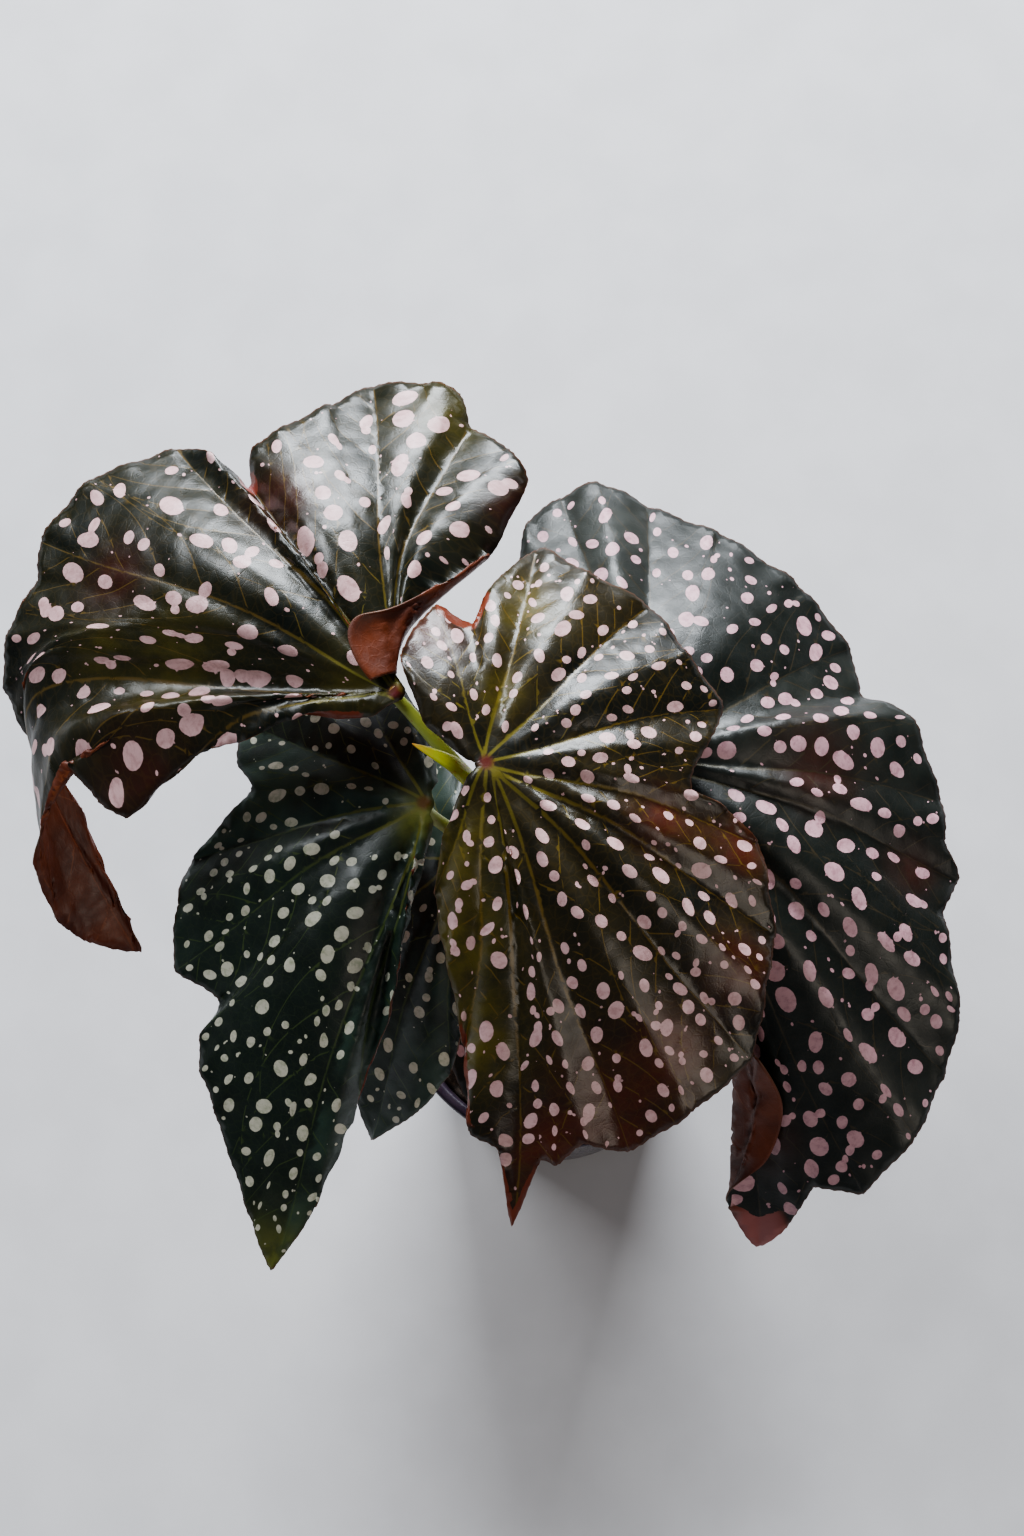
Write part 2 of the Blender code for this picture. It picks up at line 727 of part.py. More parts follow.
def add_turn(points, faces, sheet, rim, turn):
    """Adds a stretch of margin that is turned over: rows from the crease to the free edge."""
    places = points[:rim]
    first, last = (int(np.argmin(np.linalg.norm(places - place(sheet.junction, *end), axis=1)))
                   for end in (turn.start, turn.end))
    crease = places[first:last + 1]
    edge = np.array([crease[0], *(place(sheet.junction, *point) for point in turn.edge), crease[-1]])
    ending = [last] if turn.closes else []
    edge = edge if turn.closes else edge[:-1]
    run = distances(crease)
    share = run / run[-1] * (len(edge) - 1)
    i = np.minimum(share.astype(int), len(edge) - 2)
    turned_part = slice(1, -1 if turn.closes else None)
    free = between(edge, i, share - i, HALFWAY_SMOOTH)[turned_part]
    crease = crease[turned_part]
    lift = np.minimum(turn.lift, FOLD_LIFT * np.linalg.norm(free - crease, axis=1))
    control = crease * (1 - FOLD_LEAN) + free * FOLD_LEAN + lift[:, None] * (0, 0, 1)
    inner = list(range(first, last + 1))
    for row in range(1, TURN_ROWS + 1):
        q = row / TURN_ROWS
        start = len(points)
        added = crease * (1 - q) ** 2 + 2 * control * q * (1 - q) + free * q * q
        points = np.concatenate([points, added])
        outer = [first, *range(start, len(points)), *ending]
        for k in range(len(inner) - 1):
            faces.append(tuple(dict.fromkeys([inner[k], inner[k + 1], outer[k + 1], outer[k]])))
        inner = outer
    return points


def blade_surface(blade):
    """Points and faces of the upper surface, with an edge along each main vein."""
    sheet = Sheet(blade)
    bearing, distance = outline(sheet)
    rim = len(bearing)
    edges = [(k, (k + 1) % rim) for k in range(rim)]
    centre = rim
    bearing, distance = np.append(bearing, 0), np.append(distance, 0)
    for along, out in vein_points(sheet, FIELD_STEP):
        start = len(bearing)
        end = int(np.argmin(abs(bearing[:rim] - along[0]) + (distance[:rim] < out[-1])))
        line = [centre, *range(start, start + len(along)), end]
        edges += zip(line, line[1:])
        bearing, distance = np.append(bearing, along), np.append(distance, out)
    field = field_points(sheet, flat_place(bearing, distance), FIELD_STEP)
    bearing, distance = np.append(bearing, field[0]), np.append(distance, field[1])
    flat = flat_place(bearing, distance)
    found = delaunay_2d_cdt([Vector(point) for point in flat], edges, [], 1, 1e-6)
    source = [sources[0] for sources in found[3]]
    faces = [tuple(source[vertex] for vertex in face) for face in found[2]]
    points = sheet.points(bearing, distance)
    points[centre] = sheet.junction
    for turn in blade["turns"]:
        points = add_turn(points, faces, sheet, rim, turn)
    return points, faces


def make_blade(name, blade, collection, finish):
    points, faces = blade_surface(blade)
    obj = add_object(name, mesh_from(name, points.tolist(), faces), collection, finish)
    bm = bmesh.new()
    bm.from_mesh(obj.data)
    bmesh.ops.recalc_face_normals(bm, faces=bm.faces)
    if sum(face.normal.z * face.calc_area() for face in bm.faces) < 0:
        bmesh.ops.reverse_faces(bm, faces=bm.faces)
    bmesh.ops.delete(bm, geom=[vert for vert in bm.verts if not vert.link_faces], context="VERTS")
    bmesh.ops.triangulate(bm, faces=bm.faces)
    bm.to_mesh(obj.data)
    bm.free()
    solidify = obj.modifiers.new("thickness", "SOLIDIFY")
    solidify.thickness = BLADE_THICKNESS * MM
    solidify.offset = -1
    obj.data.shade_smooth()
    return obj


def main():
    clear_scene()
    parts = new_collection("potted_begonia")
    cutters = new_collection("cutters")
    make_pot(parts)
    make_soil(parts, cutters)
    make_cane(parts)
    finish = material("leaf", LEAF_GREEN, LEAF_ROUGHNESS)
    for name, blade in BLADES.items():
        make_blade(name, blade, parts, finish)


main()
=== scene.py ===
"""The look of a spotted cane begonia in a tapered pot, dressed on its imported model.

Lengths are in millimetres until MM turns them into metres. The origin is the centre of the pot's underside.
"""

import math
from collections import namedtuple

import bmesh
import bpy
import numpy as np
from mathutils import Matrix, Vector
from mathutils.geometry import delaunay_2d_cdt
from mathutils.kdtree import KDTree


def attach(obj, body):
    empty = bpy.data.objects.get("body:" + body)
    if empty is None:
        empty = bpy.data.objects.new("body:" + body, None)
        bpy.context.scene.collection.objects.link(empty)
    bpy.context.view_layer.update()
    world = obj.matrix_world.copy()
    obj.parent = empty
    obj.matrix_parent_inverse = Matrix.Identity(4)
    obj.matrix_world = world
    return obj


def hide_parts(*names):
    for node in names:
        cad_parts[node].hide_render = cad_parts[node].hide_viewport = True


MM = 0.001

# Blades, as in the model
JUNCTION_RADIUS = 3
JUNCTION_FADE = 4
MOST_SPREAD = math.radians(345)
MARGIN_SMOOTH = 0.5
HALFWAY_SMOOTH = 0.9
RAY_ARCH = 0.09
RAY_STEPS = 12
# The swelling between two veins: its share of their gap, its limit, how far out it grows and how peaked it is
PLEAT_SHARE = 0.12
PLEAT_LIMIT = 3.6
PLEAT_GROWTH = 30
PLEAT_ROUND = 1.35
# A turned margin's rise over its crease, and how far it leans
FOLD_LIFT = 0.5
FOLD_LEAN = 0.1

Ray = namedtuple("Ray", "bearing reach rise over is_vein")
Turn = namedtuple("Turn", "start end edge lift closes")


def bay(bearing, reach, rise, over=None):
    """A margin point between veins: degrees from +X, and mm out from and up from the junction.

    over is the point, in the same terms, where a blade that curls bends over on its way out.
    """
    return Ray(bearing, reach, rise, over, False)


def vein(bearing, reach, rise, over=None):
    """The margin point at the end of a main vein."""
    return Ray(bearing, reach, rise, over, True)


# Each blade: the junction with its stalk, its margin clockwise from the gap at the stalk, and the
# stretches of margin that are turned over, from a start to an end through the points of the free edge
BLADES = {
    "leaf_upper_left": {
        "junction": (-48, 36, 300),
        "rays": [
            bay(-110, 4, -1), bay(-135, 9, -3), bay(-158, 16, -6), bay(-170, 27, -9),
            bay(-167, 42, -16, over=(-173, 21, -5)), bay(-169, 54, -22, over=(-175, 27, -6)),
            vein(-165, 68, -29, over=(-176, 36, -9)), bay(-161, 80, -33, over=(-177, 43, -12)),
            bay(-166, 87, -35, over=(-178, 50, -14)), bay(-174, 95, -34, over=(-179, 56, -15)),
            bay(-168, 104, -48, over=(-179.5, 72, -20)), bay(-163, 111, -62, over=(180, 86, -26)),
            bay(-157, 111, -78, over=(179, 96, -34)), bay(-153, 106, -86, over=(178, 101, -37)),
            vein(-148, 93, -93, over=(176, 104, -38)), bay(-153, 92, -86, over=(174, 106, -38)),
            bay(-160, 93, -80, over=(172, 106, -37)), bay(-170, 95, -72, over=(170, 105, -35)),
            bay(180, 106, -61, over=(168, 101, -30)), bay(172, 116, -48, over=(164, 89, -21)),
            bay(165, 117, -36, over=(160.5, 71, -12)), bay(157, 113, -28), vein(152, 117, -25),
            bay(142, 114, -22), vein(129, 104, -20), bay(125, 93, -15), vein(123, 79, -13),
            bay(118, 87, -10), bay(102, 95, -17), vein(95, 102, -21),
            bay(85, 101, -20, over=(90.5, 50, -4)), bay(80, 99, -20, over=(88.5, 49, -4)),
            vein(77, 89, -17, over=(87, 44, -3)), bay(68, 83, -13, over=(83, 40, -2)),
            bay(61, 75, -12, over=(80, 34, -3)), bay(59, 51, -9, over=(79, 20, -3)),
        ],
        "turns": [
            Turn((59, 51, -9), (86.5, 5, -1), [
                (62.5, 44, -5), (65.5, 37.5, -3), (71.5, 32.5, -1), (78, 27.5, 1.8), (97, 21.7, 5.5),
                (118, 22, 8), (131.5, 19.6, 7), (141, 15, 6), (153, 10.3, 5), (165, 6.7, 3.5)], 3, False),
        ],
    },
    "leaf_centre": {
        "junction": (-23, 13, 308),
        "rays": [
            bay(172, 5, 0), bay(148, 19, 1), bay(128, 37, 2), vein(107, 48, -3), bay(95, 41, -6),
            bay(91.5, 49, -9), bay(85, 59, -13), vein(78, 71, -19), bay(65, 66, -16), vein(49, 69, -19),
            bay(34, 66, -17), vein(19, 69, -20), bay(9, 61, -16), bay(2, 56, -16), bay(-3.5, 56, -16),
            bay(-6, 65, -20), vein(-11, 76, -26), bay(-20, 82, -29), vein(-26, 88, -33),
            bay(-35, 93, -33), vein(-45, 102, -41), bay(-57, 103, -44), vein(-68, 103, -51),
            bay(-74, 98, -48), bay(-79, 101, -54, over=(-76, 50, -18)),
            bay(-81.5, 99, -55, over=(-77.5, 50, -19)), vein(-86.5, 113, -68, over=(-80, 53, -20)),
            bay(-88, 95, -54, over=(-82, 47, -18)), bay(-93, 91, -51, over=(-87, 44, -17)),
            vein(-95, 70, -38, over=(-92, 35, -13)), bay(-104, 47, -27), vein(-114, 34, -20),
            bay(-124, 20, -11), bay(-146, 6, -2),
        ],
    },
    "leaf_right": {
        "junction": (19, 23, 283),
        "rays": [
            bay(155, 6, -1), bay(130, 20, -4), bay(121, 46, -11), bay(117, 72, -19), bay(111, 85, -23),
            vein(103, 91, -25), bay(96, 93, -26), vein(86, 86, -26), bay(72, 81, -26), bay(51, 78, -28),
            vein(34, 77, -31), bay(23, 72, -31), bay(15, 83, -31), vein(-1, 89, -36), bay(-9, 91, -39),
            vein(-14, 97, -43), bay(-21, 95, -41), bay(-34, 112, -48), vein(-41, 118, -55),
            bay(-50, 125, -60), vein(-59, 128, -70), bay(-64, 120, -74, over=(-61, 61, -26)),
            bay(-69, 126, -88, over=(-62, 64, -30)), vein(-73, 127, -95, over=(-63, 64, -32)),
            bay(-75.5, 115, -86, over=(-64.5, 60, -30)), bay(-71.8, 104, -71, over=(-65.5, 54, -26)),
            bay(-68, 93, -55, over=(-67, 47, -20)), bay(-67, 80, -38, over=(-69, 40, -14)),
            vein(-73, 59, -22), bay(-84, 34, -11), bay(-104, 15, -4), bay(-135, 6, -1),
        ],
        "turns": [
            Turn((-75.5, 115, -86), (-67, 80, -38), [
                (-75.5, 112, -76), (-69, 108, -64), (-64.5, 98, -50), (-66, 86, -36)], 2, True),
        ],
    },
    "leaf_lower_left": {
        "junction": (-41, 16, 262),
        "rays": [
            bay(-62, 6, -2), bay(-89, 16, -5), bay(-97.5, 30, -12), bay(-99.5, 46, -20),
            bay(-100.5, 58, -29), bay(-103.6, 72, -41), vein(-104.6, 84, -49), bay(-107.5, 111, -66),
            vein(-111, 129, -78), bay(-115, 121, -71), bay(-129, 99, -53), bay(-134.5, 94, -49),
            bay(-138.5, 88, -45), bay(-141, 77, -38), vein(-152, 83, -39), bay(-163, 76, -34),
            vein(-173, 69, -29), bay(170, 51, -18), bay(162, 58, -21), vein(150, 62, -23),
            bay(134, 59, -22), vein(116, 53, -21), bay(102, 42, -15), bay(88, 24, -7), bay(60, 8, -2),
        ],
    },
    "leaf_low": {
        "junction": (-34, 9, 225),
        "rays": [
            bay(-40, 6, -2), bay(-66, 18, -10), bay(-80, 34, -25), vein(-91, 53, -48), bay(-100, 64, -62),
            vein(-111, 73, -76), bay(-120, 62, -66), bay(-127, 50, -56), vein(-146, 42, -44),
            bay(-168, 35, -35), vein(163, 32, -29), bay(135, 33, -22), vein(104, 42, -19),
            bay(88, 34, -12), bay(70, 18, -5), bay(40, 6, -2),
        ],
    },
    "leaf_front": {
        "junction": (10, 8, 192),
        "rays": [
            bay(95, 6, -1), bay(60, 12, -3), bay(34, 24, -9), vein(2, 34, -20), bay(-24, 39, -28),
            vein(-50, 52, -40), bay(-74, 60, -46), vein(-97, 68, -50), bay(-112, 66, -40),
            vein(-124, 70, -34), bay(-138, 62, -26), bay(-152, 42, -16), bay(-166, 20, -7),
            bay(170, 6, -2),
        ],
    },
}

# Each leaf stalk: from its node on the cane, through points in mm, to under its blade's junction
STALKS = {
    "leaf_upper_left": (280, [(-33, 21, 288), (-43, 31, 294)]),
    "leaf_centre": (284, [(-25, 14, 293)]),
    "leaf_right": (258, [(-12, 14, 262), (10, 20, 273)]),
    "leaf_lower_left": (232, [(-27, 11, 238), (-38, 15, 250)]),
    "leaf_low": (198, [(-22, 8, 204), (-32, 9, 214)]),
    "leaf_front": (158, [(-3, 12, 166), (8, 10, 180)]),
}

# Meshes of the blades: steps, and least gaps, of which those of the field are shares of FIELD_STEP
BLADE_THICKNESS = 0.5
MARGIN_STEP = 1.0
FIELD_STEP = 1.9
DETAIL_GAP = 0.16
MARGIN_GAP = 0.4
FIELD_GAP = 0.55
FIELD_MARGIN_GAP = 0.35
DETAIL_ROOM = 0.6
JUNCTION_STEPS = 6
SAME_BEARING = 3e-5
JOIN_GAP = 1e-5
TINY = 1e-9

# Turned margins: rows of faces, clearance over the blade, how soon it is reached, ripple and smoothing
TURN_ROWS = 14
TURN_ROOM = 1.2
TURN_ROOM_START = 0.3
TURN_ROOM_GROWTH = 2
TURN_SOFTNESS = 0.5
TURN_NEIGHBOURS = 6
TURN_RIPPLE = 0.2
TURN_RIPPLE_LENGTH = 4.7
TURN_RIPPLE_SHIFT = 0.3
TURN_KERNEL = np.array([1, 2, 3, 4, 3, 2, 1]) / 16

# Teeth and ruffle of the margin, and puckers between the veins
TOOTH = 0.55
TOOTH_PERIOD = 3
TOOTH_GROWTH = 30
LONG_TOOTH = 0.5
LONG_TOOTH_RUN = 7
LONG_TOOTH_EVERY = 3
RUFFLE_HEIGHT = 0.5
RUFFLE_LENGTH = 13
RUFFLE_REACH = 7
PUCKER_HEIGHT = 0.13
PUCKER_SIZES = (11, 11 / 0.87)
PUCKER_BENDS = (3.1, 4.3)
PUCKER_SWINGS = (1.7, 1.9)
RELIEF_GROWTH = 14

# What the materials are told: the seed of the pleats' tones, the distance out that counts as 1, and what
# stands on a turned margin for the distance out and for the distance in from the margin
TONE_SEED = 50
FULL_REACH = 90
TURN_OUT = 0.6
TURN_MARGIN = 5

# Veins: half widths at start and end, depths, reach of the grooves, and how branches leave and turn
VEIN_STEP = 2.0
VEIN_START = 0.5
VEIN_END_ROOM = 0.8
VEIN_SWAY = 0.012
VEIN_BENDS = 7
VEIN_REACH = 7
VEIN_END_STRENGTH = 0.35
VEIN_PALING = 0.6
MAIN_VEIN_WIDTHS = (0.7, 0.42)
BRANCH_WIDTHS = (0.26, 0.18)
MAIN_VEIN_DEPTH = 0.3
BRANCH_DEPTH = 0.16
MAIN_GROOVE = 2.4
BRANCH_GROOVE = 1.7
GROOVE_GROWTH = 8
LEAST_GROOVE = 0.2
BRANCH_SHARES = (0.24, 0.38, 0.5, 0.62, 0.73, 0.84)
BRANCH_STAGGER = 0.06
BRANCH_ANGLE = math.radians(44)
BRANCH_TURN = math.radians(1.6)
BRANCH_SPREAD = 0.62
BRANCH_CLEARANCE = 1.2
BRANCH_STEPS = range(4, 41)

# Spots: half widths in mm, the soft edge, and the room that each keeps
DOT_SIZES = (0.35, 0.75)
SPOT_EDGE = 0.32
SPOT_EDGE_SHARE = 0.6
SPOT_LONG = (1.2, 1.8)
SPOT_SWING = 0.25
SPOT_SIDES = 16
DOT_SIDES = 8
FIRST_SPOT = 9
NEAREST_SHARE = 0.005
LEAST_ROOM = 1.2
SPOT_MARGIN_ROOM = 0.7
SPOT_VEIN_ROOM = 0.4
SPOT_OVER_VEIN = 0.85
INNER_SIZE, INNER_REACH = 0.55, 60
OUTER_SIZE, OUTER_REACH = 0.45, 12
TWIN_SHARE = 0.14
TWIN_ROOM = 3
TWIN_OFFSET = 1.75
TWIN_LENGTH = 0.95
TWIN_WIDTH = 0.8

# For each blade: a seed, how many spots and dots are tried, the spots' half widths and the least gap
SCATTER = {
    "leaf_upper_left": (11, 1500, 700, (1.5, 2.9), 0.9),
    "leaf_centre": (12, 3000, 1300, (1.0, 2.1), 0.8),
    "leaf_right": (13, 3400, 700, (1.4, 2.5), 0.6),
    "leaf_lower_left": (14, 2600, 500, (1.0, 2.0), 0.8),
    "leaf_low": (15, 700, 200, (1.1, 2.0), 0.9),
    "leaf_front": (16, 700, 200, (1.2, 2.2), 0.9),
}

# Patches of other colour on each blade, seen from above: the middle and the radius. The olive and bronze
# patches are partly the leaf's own tone and partly painted glow of light shining through the blade
TINTS = {
    "leaf_upper_left": {
        "olive": [(-60, 38, 10), (-133, 55, 7), (-35, 125, 12), (-110, 50, 14)],
        "bronze": [(-80, 95, 10), (-14, 92, 9), (-120, 20, 13), (-128, 75, 9)],
        "under": [(-91, 101, 4), (-69, 31, 5), (-62, 33, 5)],
        "pale": [(-91, 101, 2.5)],
    },
    "leaf_centre": {
        "olive": [(-31, -8, 10), (-30, -32, 12), (-24, -56, 11), (-12, 60, 10), (-19, 33, 6)],
        "bronze": [(46, -4, 9), (45, -38, 9), (12, -76, 18), (-38, 50, 8), (-8, -85, 10), (28, -58, 9),
                   (24, 0, 8)],
        "under": [(-15, -98, 11), (-26, -58, 7), (-26, -68, 7), (-31, 58, 5), (-26, 59.5, 5)],
    },
    "leaf_right": {
        "olive": [(20, 23, 7)],
        "bronze": [(70, 24, 11), (98, 0, 7), (60, -74, 6)],
        "under": [(54, -98, 10)],
        "pale": [(56, -96, 10)],
    },
    "leaf_lower_left": {
        "olive": [(-87, -108, 13), (-43, 12, 6)],
        "under": [(-53, -24, 6), (-61, -54, 6)],
    },
    "leaf_low": {},
    "leaf_front": {"bronze": [(20, -30, 30)]},
}


# How strongly patches show of the red of the underside and of its pale margin
TINT_GAINS = {"olive": 1, "bronze": 1, "under": 1.6, "pale": 1.3}


# Shapes of the blades


def between(points, i, t, smooth):
    """Points at shares t from points[i] to the next, on a curve that turns at each point by smooth."""
    last = len(points) - 1
    start, end = points[i], points[i + 1]
    out = smooth * (end - points[np.maximum(i - 1, 0)]) / 2
    back = smooth * (points[np.minimum(i + 2, last)] - start) / 2
    t = np.asarray(t, float)[..., None]
    return (start * (2 * t**3 - 3 * t**2 + 1) + out * (t**3 - 2 * t**2 + t)
            + end * (3 * t**2 - 2 * t**3) + back * (t**3 - t**2))


def distances(points):
    """The distance along a line of points at each of them."""
    return np.concatenate([[0], np.cumsum(norms(np.diff(points, axis=0)))])


def heading(angle):
    return np.array([math.cos(angle), math.sin(angle)])


def norms(rows):
    return np.linalg.norm(rows, axis=1)


def bell(offset, width):
    """1 at the middle, and less and less further out."""
    return np.exp(-(offset / width) ** 2)


def flat_place(bearing, distance):
    return np.stack([np.cos(bearing), np.sin(bearing)], axis=1) * distance[:, None]


def middles(values):
    return (values[1:] + values[:-1]) / 2


def across(points, directions):
    """How far each point is from the next, square to the rays' directions."""
    directions = middles(directions)
    directions /= norms(directions)[:, None]
    steps = np.diff(points, axis=0)
    return norms(steps - (steps * directions).sum(axis=1, keepdims=True) * directions)


class Sheet:
    """The upper surface of a blade, found from a bearing at the junction and a distance from it.

    A flat leaf has the same bearings and distances, so they also give each point's place on it.
    """

    def __init__(self, blade):
        self.junction = np.array(blade["junction"], float)
        rays = blade["rays"]
        self.margin = np.array([place(self.junction, ray.bearing, ray.reach, ray.rise) for ray in rays])
        self.halfway = (self.margin + self.junction) / 2
        for i, ray in enumerate(rays):
            self.halfway[i, 2] += RAY_ARCH * ray.reach
            if ray.over:
                self.halfway[i] = place(self.junction, *ray.over)
        out, on = self.halfway - self.junction, self.margin - self.halfway
        self.true_bearings = np.unwrap(np.arctan2(out[:, 1], out[:, 0]))
        # Flattened, each sector is as wide as the leaf is there, halfway out and at the margin
        reach = norms(out)
        angles = (across(self.halfway, out) / middles(reach)
                  + across(self.margin, on) / middles(reach + norms(on))) / 2
        angles *= min(1, MOST_SPREAD / angles.sum())
        self.bearings = self.true_bearings[0] - np.concatenate([[0], np.cumsum(angles)])
        self.run = distances(self.margin)
        self.veins = [i for i, ray in enumerate(rays) if ray.is_vein]
        self.pleats = self.run[[0, *self.veins, len(rays) - 1]]

    def locate(self, bearing):
        """The ray before each bearing, and the share of the way to the next."""
        i = np.clip(np.searchsorted(-self.bearings, -bearing) - 1, 0, len(self.bearings) - 2)
        return i, (self.bearings[i] - bearing) / (self.bearings[i] - self.bearings[i + 1])

    def along(self, bearing):
        """How far along the margin each bearing meets it."""
        i, t = self.locate(bearing)
        return self.run[i] + t * (self.run[i + 1] - self.run[i])

    def curves(self, bearing):
        """The curve out along each bearing, and the distance along it at each of its points."""
        i, t = self.locate(bearing)
        halfway = between(self.halfway, i, t, HALFWAY_SMOOTH)
        margin = between(self.margin, i, t, MARGIN_SMOOTH)
        bends = np.stack([np.broadcast_to(self.junction, margin.shape), halfway, margin])
        curve = np.stack([between(bends, half, np.full(len(margin), share), 1)
                          for half in (0, 1) for share in np.linspace(0, 1, RAY_STEPS + 1)[half:]], axis=1)
        steps = np.linalg.norm(np.diff(curve, axis=1), axis=2)
        return curve, np.concatenate([np.zeros((len(curve), 1)), np.cumsum(steps, axis=1)], axis=1)

    def lengths(self, bearing):
        """How far it is from the junction to the margin along each bearing."""
        return self.curves(bearing)[1][:, -1]

    def swell(self, bearing, distance):
        """How far the blade swells between two veins."""
        here = self.along(bearing)
        pleat = np.clip(np.searchsorted(self.pleats, here) - 1, 0, len(self.pleats) - 2)
        start, width = self.pleats[pleat], self.pleats[pleat + 1] - self.pleats[pleat]
        height = np.minimum(PLEAT_LIMIT, PLEAT_SHARE * width) * (1 - bell(distance, PLEAT_GROWTH))
        return height * np.sin(np.pi * np.clip((here - start) / width, 0, 1)) ** PLEAT_ROUND

    def points(self, bearing, distance):
        """The points at these bearings in radians and distances in mm, which may be past the margin."""
        curve, run = self.curves(bearing)
        rows = np.arange(len(curve))
        k = np.clip((run < distance[:, None]).sum(axis=1) - 1, 0, run.shape[1] - 2)
        share = ((distance - run[rows, k]) / (run[rows, k + 1] - run[rows, k]))[:, None]
        points = curve[rows, k] * (1 - share) + curve[rows, k + 1] * share
        points[:, 2] += self.swell(bearing, distance)
        # Level at the junction, where the stalk meets the blade
        level = bell(np.maximum(distance - JUNCTION_RADIUS, 0), JUNCTION_FADE)
        points[:, 2] += level * (self.junction[2] - points[:, 2])
        # On the stalk's side of the junction there is only its flat disc
        share = (self.bearings[-1] - bearing) / (math.tau - self.bearings[0] + self.bearings[-1])
        turn = self.true_bearings[-1] - share * (math.tau - self.true_bearings[0] + self.true_bearings[-1])
        disc = flat_place(turn, distance) + self.junction[:2]
        beyond = bearing < self.bearings[-1]
        points[beyond, :2] = disc[beyond]
        points[beyond, 2] = self.junction[2]
        return points

    def from_flat(self, flat):
        """(bearing, distance) of places on the flattened leaf."""
        bearing = np.arctan2(flat[:, 1], flat[:, 0])
        middle = (self.bearings[0] + self.bearings[-1]) / 2
        bearing += math.tau * np.round((middle - bearing) / math.tau)
        for end in self.bearings[[0, -1]]:
            bearing[np.abs(bearing - end) < SAME_BEARING] = end
        bearing = np.where(bearing > self.bearings[0], bearing - math.tau, bearing)
        return bearing, norms(flat)

    def inside(self, flat, clearance):
        """Which places on the flattened leaf lie more than the clearance inside its margin."""
        bearing, distance = self.from_flat(flat)
        within = bearing > self.bearings[-1]
        return within & (distance < self.lengths(np.clip(bearing, self.bearings[-1], None)) - clearance)


def outline(sheet):
    """(bearing, distance) all along the toothed margin, down the last ray and round the junction."""
    first, last = sheet.bearings[[0, -1]]
    bearings = [first]
    for i in range(len(sheet.margin) - 1):
        count = max(1, round((sheet.run[i + 1] - sheet.run[i]) / MARGIN_STEP))
        bearings += list(np.linspace(sheet.bearings[i], sheet.bearings[i + 1], count + 1)[1:])
    bearings = np.array(bearings)
    lengths = sheet.lengths(bearings)
    k = np.arange(len(lengths))
    saw = (k % TOOTH_PERIOD) / TOOTH_PERIOD + LONG_TOOTH * ((k // LONG_TOOTH_RUN) % LONG_TOOTH_EVERY == 0)
    lengths[1:-1] += (TOOTH * saw * np.clip(lengths / TOOTH_GROWTH, 0, 1))[1:-1]
    down = np.arange(lengths[-1] - MARGIN_STEP, JUNCTION_RADIUS + MARGIN_STEP, -MARGIN_STEP)
    gap = last - (math.tau - (first - last)) * np.linspace(0, 1, JUNCTION_STEPS + 1)[1:-1]
    up = np.arange(JUNCTION_RADIUS + MARGIN_STEP, lengths[0] - MARGIN_STEP / 2, MARGIN_STEP)
    return (np.concatenate([bearings, np.full(len(down), last), gap, np.full(len(up), first)]),
            np.concatenate([lengths, down, np.full(len(gap), JUNCTION_RADIUS), up]))


def veins_of(sheet):
    """The veins on the flattened leaf, each as a line of points, its half width at each and its depth."""
    ends = sheet.bearings[[0, *sheet.veins, -1]]
    veins = []
    for number, i in enumerate(sheet.veins):
        bearing = sheet.bearings[i]
        length = sheet.lengths(sheet.bearings[i:i + 1])[0]
        run = np.arange(VEIN_START, length - VEIN_END_ROOM, VEIN_STEP)
        out = heading(bearing)
        side = np.array([-out[1], out[0]])
        sway = VEIN_SWAY * length * np.sin(run / length * VEIN_BENDS + number)
        line = run[:, None] * out + sway[:, None] * side
        veins.append((line, np.linspace(*MAIN_VEIN_WIDTHS, len(line)), MAIN_VEIN_DEPTH))
        for share in BRANCH_SHARES:
            for hand, beside in ((1, ends[number]), (-1, ends[number + 2])):
                k = int((share + BRANCH_STAGGER * (hand > 0)) * len(line))
                branch = walk_branch(sheet, line[min(k, len(line) - 1)], bearing, hand, abs(beside - bearing))
                if len(branch) >= BRANCH_STEPS.start:
                    veins.append((branch, np.linspace(*BRANCH_WIDTHS, len(branch)), BRANCH_DEPTH))
    return veins


def walk_branch(sheet, start, bearing, hand, room):
    """A side vein from start, which turns little by little towards the margin."""
    points, angle = [start], bearing + hand * BRANCH_ANGLE
    while len(points) < BRANCH_STEPS.stop:
        ahead = points[-1] + VEIN_STEP * heading(angle)
        off = (math.atan2(ahead[1], ahead[0]) - bearing + math.pi) % math.tau - math.pi
        if abs(off) > BRANCH_SPREAD * room or not sheet.inside(ahead[None], BRANCH_CLEARANCE)[0]:
            break
        points.append(ahead)
        angle -= hand * BRANCH_TURN
    return np.array(points)


def vein_field(veins, flat):
    """How near each place is to a vein's middle, 0 to 1, and how deep the blade sinks there."""
    near, depth = np.zeros(len(flat)), np.zeros(len(flat))
    for line, widths, sink in veins:
        groove = MAIN_GROOVE if sink > BRANCH_DEPTH else BRANCH_GROOVE
        strengths = np.linspace(1, VEIN_END_STRENGTH, len(line) - 1)
        for a, b, width, strength in zip(line, line[1:], widths, strengths):
            close = np.flatnonzero(np.abs(flat - (a + b) / 2).max(axis=1) < VEIN_REACH)
            step = b - a
            t = np.clip((flat[close] - a) @ step / (step @ step), 0, 1)
            gap = norms(flat[close] - a - t[:, None] * step)
            colour = np.clip(1 - gap / width, 0, 1) * (1 - VEIN_PALING + VEIN_PALING * strength)
            near[close] = np.maximum(near[close], colour)
            depth[close] = np.maximum(depth[close], sink * strength * bell(gap, groove))
    return near, depth


